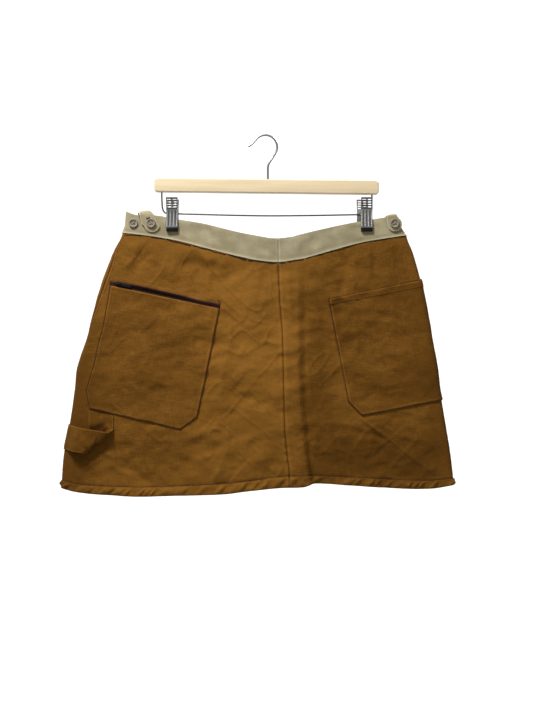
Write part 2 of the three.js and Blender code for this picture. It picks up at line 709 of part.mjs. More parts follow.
// Clip plates and pads are drawn as side profiles, out from the cloth and up, and extruded
const fromProfile = (points, width) => {
  const shape = new THREE.Shape(points.map(([out, up]) => new THREE.Vector2(-out, up)));
  // The drawing's across goes to y, its up to z, and the width lies along x
  const turned = new THREE.Matrix4().makeBasis(
    new THREE.Vector3(0, 1, 0), new THREE.Vector3(0, 0, 1), new THREE.Vector3(1, 0, 0),
  );
  const geometry = new THREE.ExtrudeGeometry(shape, { depth: width, bevelEnabled: false });
  return geometry.applyMatrix4(moved(0, 0, -width / 2)).applyMatrix4(turned);
};
const CLIP = {
  grip: WAIST_ROUND + WAISTBAND_PROUD + SEAM_GAP, // out from the middle to the back of the pad
  jaw: { out: 8.6, z: -146 }, // inside of the plate at its lower end
  pivot: { out: 4.6, z: -123 },
  handle: { out: 10.5, z: -98.5 },
  padFoot: -152,
  padTop: -135.5,
  rib: { proud: 0.7, wide: 1.6, top: -118, bottom: -144.5, places: [-1, -0.33, 0.33, 1] },
  slots: { rows: 4, top: -102.2, pitch: 3.7, high: 1.9, wide: 6, aside: 4.4 },
};
const plateOut = (z) => {
  const { jaw, pivot, handle } = CLIP;
  if (z < pivot.z) return mix(jaw.out, pivot.out, (z - jaw.z) / (pivot.z - jaw.z));
  return mix(pivot.out, handle.out, (z - pivot.z) / (handle.z - pivot.z));
};
function clipPlate() {
  const inside = [CLIP.jaw.z, CLIP.pivot.z, CLIP.handle.z].map((z) => [plateOut(z), z]);
  const outside = inside.map(([out, z]) => [out + STEEL, z]).reverse();
  let plate = solid(fromProfile([...inside, ...outside], CLIP_WIDTH));
  const { rib, slots } = CLIP;
  const ribZs = [rib.bottom, CLIP.pivot.z, rib.top];
  const ribInside = ribZs.map((z) => [plateOut(z) + STEEL / 2, z]);
  const ribOutside = ribZs.map((z) => [plateOut(z) + STEEL + rib.proud, z]).reverse();
  for (const aside of rib.places) {
    const ridge = fromProfile([...ribInside, ...ribOutside], rib.wide);
    plate = plate.add(solid(ridge, moved(aside * (CLIP_WIDTH / 2 - 1.4), 0, 0)));
  }
  for (let row = 0; row < slots.rows; row += 1) {
    for (const aside of [-1, 1]) {
      const slot = new THREE.BoxGeometry(slots.wide, 40, slots.high);
      plate = plate.subtract(solid(slot, moved(aside * slots.aside, 0, slots.top - row * slots.pitch)));
    }
  }
  return meshed(plate);
}
function clipPad() {
  const { grip, jaw, padFoot, padTop } = CLIP;
  return fromProfile([
    [grip, padFoot], [jaw.out + STEEL - 0.3, padFoot], [jaw.out + STEEL, jaw.z - SEAM_GAP],
    [jaw.out - SEAM_GAP, jaw.z], [plateOut(padTop) - SEAM_GAP, padTop], [grip, padTop],
  ], CLIP_WIDTH - 0.6);
}
const SPRING = { inside: 1.6, outside: 4.2, long: 8 };
function spring() {
  const { inside, outside, long } = SPRING;
  const corners = [[inside, 0], [outside, 0], [outside, long], [inside, long], [inside, 0]];
  const outline = corners.map(([radius, up]) => new THREE.Vector2(radius, up));
  const ring = new THREE.LatheGeometry(outline, 12);
  return ring.applyMatrix4(moved(0, -long / 2, 0)).rotateZ(Math.PI / 2);
}

// Round wire along a curve
function wire(points, diameter, steps, sides) {
  const route = points.map(([x, z]) => new THREE.Vector3(x, 0, z));
  const curve = new THREE.CatmullRomCurve3(route, false, 'centripetal');
  const circle = new THREE.Shape();
  for (let side = 0; side < sides; side += 1) {
    const turn = 2 * Math.PI * side / sides;
    const [x, y] = [Math.cos(turn), Math.sin(turn)].map((value) => value * diameter / 2);
    if (side === 0) circle.moveTo(x, y);
    else circle.lineTo(x, y);
  }
  return new THREE.ExtrudeGeometry(circle, { steps, extrudePath: curve, bevelEnabled: false });
}
// Height of the bar's upper edge (side 1) or lower edge (side -1)
const barZ = (x, side) => {
  const middle = HANGER_CENTRE.z - (x - HANGER_CENTRE.x) * Math.tan(HANGER_TILT);
  return middle + side * HANGER_HEIGHT / 2;
};

// The hook: a stem that leans over into an arc round the origin's rail, and a straight tip.
// The arc's angles are in degrees from +x, anticlockwise.
const HOOK = {
  stem: [[4.2, barZ(4.2, 1) + SEAM_GAP], [4.2, -57], [4.4, -48], [7.2, -41], [12.8, -32.5]],
  arc: { from: -20, to: 140, step: 16 },
  tip: [[-20.5, -11.8], [-27, -16.5]],
};
function hookPoints() {
  const centreZ = HOOK_WIRE / 2 - HOOK_RADIUS;
  const arc = [];
  for (let angle = HOOK.arc.from; angle <= HOOK.arc.to; angle += HOOK.arc.step) {
    const turn = THREE.MathUtils.degToRad(angle);
    arc.push([Math.cos(turn) * HOOK_RADIUS, centreZ + Math.sin(turn) * HOOK_RADIUS]);
  }
  return [...HOOK.stem, ...arc, ...HOOK.tip];
}

// The wire frame under the bar, x and z, from its left end to its right end
const FRAME_ROUTE = [
  [-164, barZ(-164, -1) - SEAM_GAP], [-163.6, -105], [-162.6, -115], [-160, -120.3],
  [-155, -122.6], [-146, -122.9], [-120, -123.6], [-40, -125.6], [12, -126.2], [80, -125.6],
  [140, -124.5], [158, -124.2], [164.5, -123.6], [168, -121], [169, -115], [169, -104],
  [169, barZ(169, -1) - SEAM_GAP],
];
function hangerBar() {
  const [bevel, corner] = [1.6, 5];
  const [w, h] = [HANGER_LENGTH / 2 - bevel, HANGER_HEIGHT / 2 - bevel];
  const outline = new THREE.Shape();
  outline.absarc(w - corner, h - corner, corner, 0, Math.PI / 2);
  outline.absarc(-w + corner, h - corner, corner, Math.PI / 2, Math.PI);
  outline.absarc(-w + corner, -h + corner, corner, Math.PI, Math.PI * 1.5);
  outline.absarc(w - corner, -h + corner, corner, Math.PI * 1.5, Math.PI * 2);
  const board = new THREE.ExtrudeGeometry(outline, {
    depth: HANGER_THICK - 2 * bevel,
    bevelSize: bevel,
    bevelThickness: bevel,
    bevelSegments: 3,
    curveSegments: 4,
  });
  return board.applyMatrix4(moved(0, 0, -HANGER_THICK / 2 + bevel));
}

// Zip slider with the arch that holds its pull tab. Local x runs down the zip, z out of the cloth.
const SLIDER = {
  long: 9,
  wide: 4.4,
  body: 1.8,
  arch: { wide: 1.4, foot: 1.2, half: 3.2, shoulder: 3.5, topHalf: 2.3, top: 4.4 },
  window: { half: 1.7, bottom: 1.6, top: 3.6 },
};
const PIVOT_OUT = 2.75; // from the back of the slider to the middle of the pull tab's bar
const flatPoints = (pairs) => pairs.map(([x, y]) => new THREE.Vector2(x, y));
function slider() {
  const { long, wide, body, arch, window } = SLIDER;
  const outline = new THREE.Shape(flatPoints([
    [-arch.half, arch.foot], [arch.half, arch.foot], [arch.half, arch.shoulder],
    [arch.topHalf, arch.top], [-arch.topHalf, arch.top], [-arch.half, arch.shoulder],
  ]));
  outline.holes.push(new THREE.Path(flatPoints([
    [-window.half, window.bottom], [-window.half, window.top],
    [window.half, window.top], [window.half, window.bottom],
  ])));
  const band = new THREE.ExtrudeGeometry(outline, { depth: arch.wide, bevelEnabled: false });
  band.rotateX(Math.PI / 2);
  const plate = solid(new THREE.BoxGeometry(long, wide, body), moved(0, 0, body / 2));
  return meshed(plate.add(solid(band, moved(0, arch.wide / 2, 0))));
}
const PULL = { long: 21, wide: 4.4, thick: 1, corner: 1.5, bar: 0.5, eyeEnd: 4.6, eyeHalf: 1.15 };
function pullTab() {
  const { long, thick, corner, bar, eyeEnd, eyeHalf } = PULL;
  const side = PULL.wide / 2;
  const outline = new THREE.Shape(flatPoints([
    [-bar, -side], [long - corner, -side], [long, corner - side],
    [long, side - corner], [long - corner, side], [-bar, side],
  ]));
  outline.holes.push(new THREE.Path(flatPoints([
    [bar, -eyeHalf], [bar, eyeHalf], [eyeEnd, eyeHalf], [eyeEnd, -eyeHalf],
  ])));
  const plate = new THREE.ExtrudeGeometry(outline, { depth: thick, bevelEnabled: false });
  return plate.applyMatrix4(moved(0, 0, -thick / 2));
}

// The whole object
const group = new THREE.Group();
const cloth = { roughness: 0.9, metalness: 0 };
const finish = {
  duck: new THREE.MeshStandardMaterial({ color: 0x7a5424, ...cloth }),
  khaki: new THREE.MeshStandardMaterial({ color: 0x9d937a, ...cloth }),
  zip: new THREE.MeshStandardMaterial({ color: 0x15120f, roughness: 0.6, metalness: 0 }),
  button: new THREE.MeshStandardMaterial({ color: 0x968c7e, roughness: 0.45, metalness: 0 }),
  birch: new THREE.MeshStandardMaterial({ color: 0xe2cda2, roughness: 0.5, metalness: 0 }),
  steel: new THREE.MeshStandardMaterial({ color: 0x8e8e8c, roughness: 0.3, metalness: 1 }),
  rubber: new THREE.MeshStandardMaterial({ color: 0x1c1c1e, roughness: 0.8, metalness: 0 }),
};
function add(name, geometry, material) {
  const mesh = new THREE.Mesh(geometry, material);
  mesh.name = name;
  group.add(mesh);
  return mesh;
}

for (const [name, geometry] of Object.entries(panels)) add(name, geometry, finish.duck);
for (const [name, geometry] of Object.entries(bands)) add(name, geometry, finish.khaki);
for (const [name, geometry] of Object.entries(patches)) {
  add(name, geometry, name === 'zip_tape' ? finish.zip : finish.duck);
}
add('hammer_loop', hammerLoop(), finish.duck);
for (const [name, sizes] of Object.entries(TABS)) add(name, tab(sizes), finish.khaki);
for (const [name, { x, z, on }] of Object.entries(BUTTONS)) {
  const mesh = add(name, button(), finish.button);
  mesh.rotation.x = Math.PI;
  mesh.position.set(x, bandFace(x, z, false, on), z);
}

const bar = add('hanger_bar', hangerBar(), finish.birch);
bar.position.set(HANGER_CENTRE.x, 0, HANGER_CENTRE.z);
bar.rotation.set(Math.PI / 2, 0, -HANGER_TILT);
add('hanger_hook', wire(hookPoints(), HOOK_WIRE, 40, 8), finish.steel);
add('hanger_frame', wire(FRAME_ROUTE, FRAME_WIRE, 64, 6), finish.steel);
const CLIPS = [
  { name: 'clip_right', x: -147, backShift: 0, springX: -147, springZ: -122.9 },
  { name: 'clip_left', x: 160, backShift: -5, springX: 157, springZ: -124.2 },
];
for (const { name, x, backShift, springX, springZ } of CLIPS) {
  for (const [side, turn, shift] of [['front', 0, 0], ['back', Math.PI, backShift]]) {
    const plate = add(`${name}_${side}_plate`, clipPlate(), finish.steel);
    const pad = add(`${name}_${side}_pad`, clipPad(), finish.rubber);
    for (const mesh of [plate, pad]) {
      mesh.rotation.z = turn;
      mesh.position.x = x + shift;
    }
  }
  add(`${name}_spring`, spring(), finish.steel).position.set(springX, 0, springZ);
}

// The zip's moving pieces share a frame: along the zip, up beside it, and out of the cloth
const zipFrame = new THREE.Group();
const sliderZ = (slitTop(SLIDER_X) + slitBottom(SLIDER_X)) / 2;
const sliderAt = locate(SLIDER_X, sliderZ);
const sliderSeat = off(sliderAt.run, sliderAt.down, LIFT + ZIP_THICK + SEAM_GAP);
zipFrame.matrixAutoUpdate = false;
zipFrame.matrix.makeBasis(
  new THREE.Vector3(Math.cos(ZIP_ANGLE), 0, -Math.sin(ZIP_ANGLE)),
  new THREE.Vector3(Math.sin(ZIP_ANGLE), 0, Math.cos(ZIP_ANGLE)),
  new THREE.Vector3(0, -1, 0),
).setPosition(SLIDER_X, sliderSeat.y, sliderZ);
const sliderMesh = new THREE.Mesh(slider(), finish.steel);
sliderMesh.name = 'zip_slider';
const pullMesh = new THREE.Mesh(pullTab(), finish.steel);
pullMesh.name = 'zip_pull';
pullMesh.position.z = PIVOT_OUT;
zipFrame.add(sliderMesh, pullMesh);
group.add(zipFrame);

export default group;
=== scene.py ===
"""A short cargo utility skirt of brown duck canvas on a clip hanger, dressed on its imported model."""
import math

import bpy
import numpy as np
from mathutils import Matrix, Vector


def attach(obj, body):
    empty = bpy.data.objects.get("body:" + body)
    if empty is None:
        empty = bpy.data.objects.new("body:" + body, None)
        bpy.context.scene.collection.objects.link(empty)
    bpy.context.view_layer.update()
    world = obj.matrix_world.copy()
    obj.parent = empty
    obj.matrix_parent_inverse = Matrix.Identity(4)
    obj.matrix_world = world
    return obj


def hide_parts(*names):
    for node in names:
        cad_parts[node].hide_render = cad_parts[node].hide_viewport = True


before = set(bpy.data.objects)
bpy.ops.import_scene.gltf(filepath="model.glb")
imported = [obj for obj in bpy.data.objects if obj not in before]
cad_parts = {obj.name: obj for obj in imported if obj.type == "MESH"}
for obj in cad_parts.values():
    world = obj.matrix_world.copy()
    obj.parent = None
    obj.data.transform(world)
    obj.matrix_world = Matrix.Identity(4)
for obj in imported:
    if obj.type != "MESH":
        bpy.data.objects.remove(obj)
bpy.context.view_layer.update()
scene = bpy.context.scene

# The view: a level camera straight in front of the skirt, about as far off as someone taking
# its picture. PIXEL is the size of a picture point at the hanger, PICTURE_HIGH their number.
MM = 0.001
PIXEL = 1.585 * MM
PICTURE_HIGH = 711
CAMERA_AWAY = 1.4
CAMERA_AT = (0.002, -0.3476)
SENSOR = 36.0


def placed(name, data):
    """A new object of the scene, at its origin."""
    made = bpy.data.objects.new(name, data)
    scene.collection.objects.link(made)
    return made


lens = bpy.data.cameras.new("camera")
lens.sensor_width = SENSOR
lens.lens = SENSOR * CAMERA_AWAY / (PICTURE_HIGH * PIXEL)
camera = placed("camera", lens)
camera.location = (CAMERA_AT[0], -CAMERA_AWAY, CAMERA_AT[1])
camera.rotation_euler = (math.pi / 2, 0, 0)
scene.camera = camera


# The studio: a pale sweep of floor and wall round the skirt, and soft light from four sides. The
# sweep glows white behind the skirt and grey in front of it, where a bright one would take the
# shade out of the folds.
class Strand:
    """An output in a node tree, of a material or of geometry. Arithmetic on it adds Math nodes."""

    def __init__(self, tree, socket=None):
        self.tree = tree
        self.socket = socket

    def node(self, kind, settings=None, inputs=None, output=0):
        node = self.tree.nodes.new(kind)
        for name, value in (settings or {}).items():
            setattr(node, name, value)
        for name, value in (inputs or {}).items():
            if isinstance(value, Strand):
                self.tree.links.new(value.socket, node.inputs[name])
            else:
                node.inputs[name].default_value = value
        return Strand(self.tree, node.outputs[output] if len(node.outputs) else None)

    def maths(self, operation, *values):
        return self.node("ShaderNodeMath", {"operation": operation}, dict(enumerate(values)))

    def blend(self, first, second):
        """A colour, from first where this is 0 to second where it is 1."""
        inputs = {0: self.clamped(), 6: first, 7: second}
        return self.node("ShaderNodeMix", {"data_type": "RGBA"}, inputs, 2)

    def clamped(self):
        return self.node("ShaderNodeClamp", {}, {0: self})

    def __add__(self, other):
        return self.maths("ADD", self, other)

    def __sub__(self, other):
        return self.maths("SUBTRACT", self, other)

    def __rsub__(self, other):
        return self.maths("SUBTRACT", other, self)

    def __mul__(self, other):
        return self.maths("MULTIPLY", self, other)

    __radd__ = __add__
    __rmul__ = __mul__


def rgb(red, green, blue):
    """A colour given in the usual 0 to 255 steps, as light."""
    shares = [level / 255 for level in (red, green, blue)]
    light = [s / 12.92 if s <= 0.04045 else ((s + 0.055) / 1.055) ** 2.4 for s in shares]
    return (*light, 1.0)


def finish(name, make):
    """A material. make gets a Strand of its tree and returns what its surface is given."""
    material = bpy.data.materials.new(name)
    material.use_nodes = True
    tree = material.node_tree
    tree.nodes.clear()
    start = Strand(tree)
    surface = start.node("ShaderNodeBsdfPrincipled", {}, make(start))
    start.node("ShaderNodeOutputMaterial", {}, {"Surface": surface})
    return material


def axis(place, number):
    """One of the three numbers of a place."""
    return place.node("ShaderNodeSeparateXYZ", {}, {"Vector": place}, number)


def own_place(start):
    """Where a point lies on its own object."""
    return start.node("ShaderNodeTexCoord", {}, {}, 3)


def ring_faces(rings, count):
    """Faces between rings of count points each."""
    faces = []
    for ring in range(rings - 1):
        for step in range(count):
            a, b = ring * count + step, ring * count + (step + 1) % count
            faces.append((a, b, b + count, a + count))
    return faces


SWEEP = {"radius": 3.6, "floor": -1.7, "top": 4.0, "bend": 1.2, "segments": 72}
WORLD_LIGHT = 0.22


def studio_surface(start):
    place = own_place(start)
    aside, depth = axis(place, 0), axis(place, 1)
    behind = (depth - 0.9).clamped() * (2.9 - aside.maths("ABSOLUTE", aside) * 1.1).clamped()
    return {
        "Base Color": rgb(150, 150, 150),
        "Roughness": 1.0,
        "Specular IOR Level": 0.0,
        "Emission Color": behind.blend(rgb(104, 104, 104), rgb(255, 255, 255)),
        "Emission Strength": 1.0,
    }


profile = [(0.001, SWEEP["floor"]), (SWEEP["radius"] - SWEEP["bend"], SWEEP["floor"])]
for turn in np.linspace(0, math.pi / 2, 13)[1:]:
    profile.append((
        SWEEP["radius"] - SWEEP["bend"] * (1 - math.sin(turn)),
        SWEEP["floor"] + SWEEP["bend"] * (1 - math.cos(turn)),
    ))
profile.append((SWEEP["radius"], SWEEP["top"]))
count = SWEEP["segments"]
turns = [2 * math.pi * step / count for step in range(count)]
sweep_mesh = bpy.data.meshes.new("studio_sweep")
points = [(radius * math.cos(turn), radius * math.sin(turn), z) for radius, z in profile for turn in turns]
sweep_mesh.from_pydata(points, [], ring_faces(len(profile), count))
sweep_mesh.shade_smooth()
sweep_mesh.materials.append(finish("studio_white", studio_surface))
sweep = placed("studio_sweep", sweep_mesh)

LIGHTS = (
    ("name", "at", "size", "watts"),
    ("key_light", (-0.65, -0.85, 1.15), 0.4, 42.0),
    ("fill_light", (1.3, -1.9, -0.2), 1.6, 1.5),
    ("top_light", (0.1, 0.6, 1.6), 1.2, 8.0),
    ("back_light", (0.9, 1.1, 1.0), 0.6, 34.0),
)
for name, at, size, watts in LIGHTS[1:]:
    lamp = bpy.data.lights.new(name, "AREA")
    lamp.size = size
    lamp.energy = watts
    light = placed(name, lamp)
    light.location = at
    towards = Vector((0, 0, CAMERA_AT[1])) - light.location
    light.rotation_euler = towards.to_track_quat("-Z", "Y").to_euler()
world = bpy.data.worlds.new("studio")
world.use_nodes = True
world.node_tree.nodes["Background"].inputs["Color"].default_value = (1, 1, 1, 1)
world.node_tree.nodes["Background"].inputs["Strength"].default_value = WORLD_LIGHT
scene.world = world
scene.view_settings.view_transform = "Standard"

# The form of the cloth: a flattened tube, from the waist down to the hem, in millimetres. The
# tables are the skirt's own sizes; down is 0 at the waist seam, 1 at the hem and -1 at the top
# of the waistband, and across runs from -1 at the left side fold to 1 at the right.
CANVAS = 1.5
WAISTBAND = 2.4
WAISTBAND_PROUD = 0.6
SEAM_GAP = 0.3
LIFT = 0.5
WAIST_ROUND = 5
HEM_ROUND = 7
FRONT_BELLY = 14
BACK_BELLY = 11
BELLY_FULL = 0.8
SIDES = (
    ("down", "left", "right"),
    (-1, -220, 206),
    (0, -227, 224),
    (0.07, -240, 234),
    (0.2, -260, 248),
    (0.35, -277, 259.5),
    (0.42, -284, 264),
    (0.53, -298, 271.5),
    (0.61, -301.5, 276),
    (0.74, -309, 284.5),
    (0.87, -319, 293),
    (1, -323, 299),
)
ACROSS = (
    ("across", "top", "seam", "hem", "turn"),
    (-1, -120, -154, -557, 13),
    (-0.92, -126, -156, -563, 13),
    (-0.78, -126.5, -160, -567, 14),
    (-0.6, -133, -167, -569, 15),
    (-0.42, -140, -178, -567, 15),
    (-0.18, -153, -192, -565, 17),
    (-0.04, -159, -198.5, -560, 16),
    (0.1, -163.5, -201, -555.5, 18),
    (0.23, -161, -197, -552.5, 18),
    (0.28, -158, -195, -548, 13),
    (0.45, -149, -184, -551, 13),
    (0.68, -138, -169.5, -556, 14),
    (0.88, -131, -162, -557.5, 13),
    (1, -127, -158, -552, 11),
)
WAIST_BELLY = (
    ("x", "out"),
    (-227, 0.5),
    (-190, 1.5),
    (-161, 0),
    (-133, 0),
    (-75, 5),
    (10, 8),
    (85, 5),
    (147, 0),
    (173, 0),
    (195, 1.2),
    (224, 0.5),
)
FOLD = (
    ("z", "x", "deep", "drop"),
    (-195, 49, 0.5, 14),
    (-255, 49.5, 3, 14),
    (-320, 50.5, 4.4, 14),
    (-386, 51, 5.2, 13),
    (-440, 54, 5.6, 13),
    (-489, 58.5, 6.8, 12),
    (-518, 62.5, 7.8, 11),
    (-540, 67, 8.7, 10),
    (-575, 72, 9, 9),
)
FOLD_RISE = 46
FOLD_TROUGH = 0.3
FOLD_CALM = 85
# The creases of each side, the large ones and then the smaller creases and drags: from x and z,
# to x and z, half the width, and how far it stands out
CREASE = ("x1", "z1", "x2", "z2", "wide", "out")
MAIN_CREASES = {
    "front": (
        CREASE,
        (162, -462, 258, -529, 10.8, 2.72),
        (112, -206, 120, -244, 10.8, -2.55),
        (-178, -183, -216, -222, 11.7, -2.72),
        (-135, -178, -150, -225, 12.6, 2.38),
        (-20, -215, -34, -420, 19.8, 2.72),
        (120, -470, 150, -548, 14.4, -3.06),
        (-180, -480, -120, -556, 18, -2.72),
        (-60, -470, -84, -558, 16.2, 2.72),
        (205, -180, 232, -222, 9.9, -2.21),
    ),
    "back": (
        CREASE,
        (110, -200, 140, -420, 18, -3.4),
        (-120, -185, -170, -380, 19.8, -3.4),
        (-200, -400, -150, -560, 21.6, 3.74),
        (190, -430, 160, -556, 21.6, 3.74),
    ),
}
FINE_CREASES = {
    "front": (
        CREASE,
        (-152, -190, -168, -232, 5.7, 1.4),
        (-196, -176, -222, -214, 4.8, 1.2),
        (-100, -196, -112, -236, 6.6, -1.4),
        (-84, -200, -92, -250, 4.8, 1),
        (-40, -206, -70, -238, 7.6, -1.6),
        (-16, -206, -36, -230, 4.8, 1.2),
        (4, -206, -10, -262, 5.7, -1),
        (-52, -300, -66, -380, 8.5, 1.6),
        (-30, -330, -44, -352, 3.8, 1),
        (-60, -405, -15, -418, 6.6, -1.4),
        (-140, -486, -60, -452, 8.5, 1.8),
        (-165, -500, -110, -520, 6.6, -1.6),
        (-90, -500, -30, -470, 7.6, -1.8),
        (-50, -540, 0, -500, 8.5, 2),
        (-230, -515, -180, -548, 7.6, -1.8),
        (-260, -500, -205, -512, 5.7, 1.4),
        (-300, -520, -262, -545, 6.6, -1.6),
        (-227, -155, -274, -291, 3.8, 2.2),
        (88, -300, 94, -380, 6.6, -1.2),
        (70, -230, 84, -300, 7.6, 1.4),
        (120, -460, 186, -478, 5.7, -1.6),
        (200, -470, 262, -486, 6.6, 1.6),
        (90, -430, 110, -520, 7.6, 1.8),
        (180, -520, 240, -548, 7.6, -1.8),
        (262, -440, 286, -520, 6.6, -1.6),
        (-122, -166, -104, -206, 5, -1.7),
        (-106, -172, -92, -204, 4.5, 1.5),
        (-190, -172, -206, -196, 4, -1.6),
        (-283, -343, -241, -344, 2.6, 1.1),
        (-100, -286, -80, -290, 2.2, -0.9),
        (-104, -307, -84, -308, 2.2, -0.9),
        (-112, -348, -92, -350, 2.4, -1.0),
        (-116, -372, -96, -375, 2.2, 0.9),
        (-256, -300, -238, -304, 2.2, -0.8),
        (-60, -316, -22, -350, 3.2, 1.2),
        (-64, -338, -40, -346, 2.6, 0.9),
        (150, -446, 192, -477, 2.4, 2.2),
        (184, -471, 258, -529, 2.2, 2.0),
        (146, -452, 190, -484, 4.5, -1.6),
        (34, -206, 40, -290, 5, 1.3),
        (130, -196, 118, -262, 8, -2.4),
        (176, -186, 168, -232, 6, -1.8),
        (236, -180, 262, -240, 5.7, 1.4),
        (150, -190, 176, -226, 7.6, 1.6),
    ),
    "back": (
        CREASE,
        (-60, -220, -90, -330, 9.5, 1.8),
        (40, -230, 70, -360, 10.4, -1.8),
        (-230, -300, -190, -360, 8.5, 2),
        (210, -280, 170, -380, 9.5, 2),
        (-60, -470, 10, -540, 9.5, -2),
        (60, -460, 120, -530, 8.5, 1.8),
        (-130, -420, -60, -450, 7.6, 1.6),
        (150, -240, 210, -260, 7.6, -1.6),
    ),
}
# The unevenness of canvas that has hung for a while: bumps long by high, turned by an angle
UNEVEN = (
    ("long", "high", "angle", "out", "seed"),
    (95, 60, 0.3, 2.6, 3),
    (46, 26, -0.4, 2.7, 5),
    (22, 12, 0.25, 1.2, 8),
    (11, 6.5, -0.2, 0.42, 11),
    (5.5, 4, 0.5, 0.1, 12),
)
# Sharp lines where the canvas was once crushed, thin ridges in patches
CRUSH_WIDE = 0.3
SLIDER_AT = (-224, -236)
SLIDER_CALM = 34  # the cloth is flat near the slider, so that it clears the pull tab
CRUSHED = (
    ("long", "high", "angle", "out", "seed"),
    (46, 17, 0.9, 1.2, 13),
    (40, 16, -0.75, 1.1, 17),
    (17, 38, 0.2, 0.9, 19),
)


def mound(value, middle, wide):
    """A smooth mound, 1 high, over the middle."""
    return np.exp(-(((value - middle) / wide) ** 2))


def ease(low, high, value):
    """0 up to low, 1 from high, and smooth between them."""
    share = np.clip((value - low) / (high - low), 0, 1)
    return share * share * (3 - 2 * share)


def along(table, place, column):
    """A column of a table, on a smooth curve through its rows, at places along its first column."""
    keys = np.array([row[0] for row in table[1:]], float)
    values = np.array([row[table[0].index(column)] for row in table[1:]], float)
    if keys[0] > keys[-1]:
        keys, values = keys[::-1], values[::-1]
    slopes = np.concatenate([
        [(values[1] - values[0]) / (keys[1] - keys[0])],
        (values[2:] - values[:-2]) / (keys[2:] - keys[:-2]),
        [(values[-1] - values[-2]) / (keys[-1] - keys[-2])],
    ])
    at = np.clip(place, keys[0], keys[-1])
    row = np.clip(np.searchsorted(keys, at, side="right") - 1, 0, len(keys) - 2)
    span = keys[row + 1] - keys[row]
    share = (at - keys[row]) / span
    square, cube = share**2, share**3
    return (
        (2 * cube - 3 * square + 1) * values[row]
        + (cube - 2 * square + share) * slopes[row] * span
        + (3 * square - 2 * cube) * values[row + 1]
        + (cube - square) * slopes[row + 1] * span
    )


def ripple(across, up, long, high, seed):
    """A smooth unevenness between -1 and 1, the same at each run, with bumps long by high."""
    grid = np.random.default_rng(seed).uniform(-1, 1, (97, 97))
    a, b = across / long + 40.0, up / high + 40.0
    i, j = np.floor(a).astype(int), np.floor(b).astype(int)
    s, t = ease(0, 1, a - i), ease(0, 1, b - j)
    corner = [[grid[(i + di) % 97, (j + dj) % 97] for dj in (0, 1)] for di in (0, 1)]
    low = corner[0][0] * (1 - s) + corner[1][0] * s
    high_side = corner[0][1] * (1 - s) + corner[1][1] * s
    return low * (1 - t) + high_side * t


def section(down):
    """The flattened tube at one level: middle of the front, half its flat width, fold radius."""
    left, right = along(SIDES, down, "left"), along(SIDES, down, "right")
    curl = WAIST_ROUND + (HEM_ROUND - WAIST_ROUND) * np.clip(down, 0, 1)
    return (left + right) / 2, (right - left) / 2 - curl, curl


def height(across, down):
    seam = along(ACROSS, across, "seam")
    end = np.where(down < 0, along(ACROSS, across, "top"), along(ACROSS, across, "hem"))
    return seam + (end - seam) * np.abs(down)


def fold_out(x, z):
    crest = along(FOLD, z, "x")
    deep = along(FOLD, z, "deep") * ease(-185, -225, z)
    foot = crest + along(FOLD, z, "drop")
    drop = ease(crest, foot, x)
    recovery = ease(foot, crest + FOLD_CALM, x)
    past = 1 - (1 + FOLD_TROUGH) * drop + FOLD_TROUGH * recovery
    return deep * np.where(x <= crest, ease(crest - FOLD_RISE, crest - 4, x), past)


def crease_out(table, x, z):
    out = np.zeros_like(x)
    for x1, z1, x2, z2, wide, rise in table[1:]:
        length = math.hypot(x2 - x1, z2 - z1)
        share = ((x - x1) * (x2 - x1) + (z - z1) * (z2 - z1)) / length**2
        aside = ((x - x1) * (z2 - z1) - (z - z1) * (x2 - x1)) / length / wide
        out += rise * np.exp(-aside**2) * ease(-0.15, 0.3, share) * ease(1.2, 0.7, share)
    return out


def slanted(x, z, angle):
    """The two numbers of a place, measured on lines turned by an angle."""
    return x * math.cos(angle) + z * math.sin(angle), z * math.cos(angle) - x * math.sin(angle)


def uneven(x, z, shift=0):
    out = np.zeros_like(x)
    for long, high, angle, rise, seed in UNEVEN[1:]:
        across, up = slanted(x, z, angle)
        out += rise * ripple(across, up, long, high, seed + shift)
    for long, high, angle, rise, seed in CRUSHED[1:]:
        across, up = slanted(x, z, angle)
        fold = 1 - np.abs(ripple(across, up, long, high, seed + shift)) / CRUSH_WIDE
        out += rise * np.clip(fold, 0, 1) ** 1.5 * ease(-0.3, 0.5, ripple(x, z, 70, 60, seed + 1 + shift))
    near_slider = np.exp(-((x - SLIDER_AT[0]) ** 2 + (z - SLIDER_AT[1]) ** 2) / SLIDER_CALM**2)
    return out * (1 - near_slider)


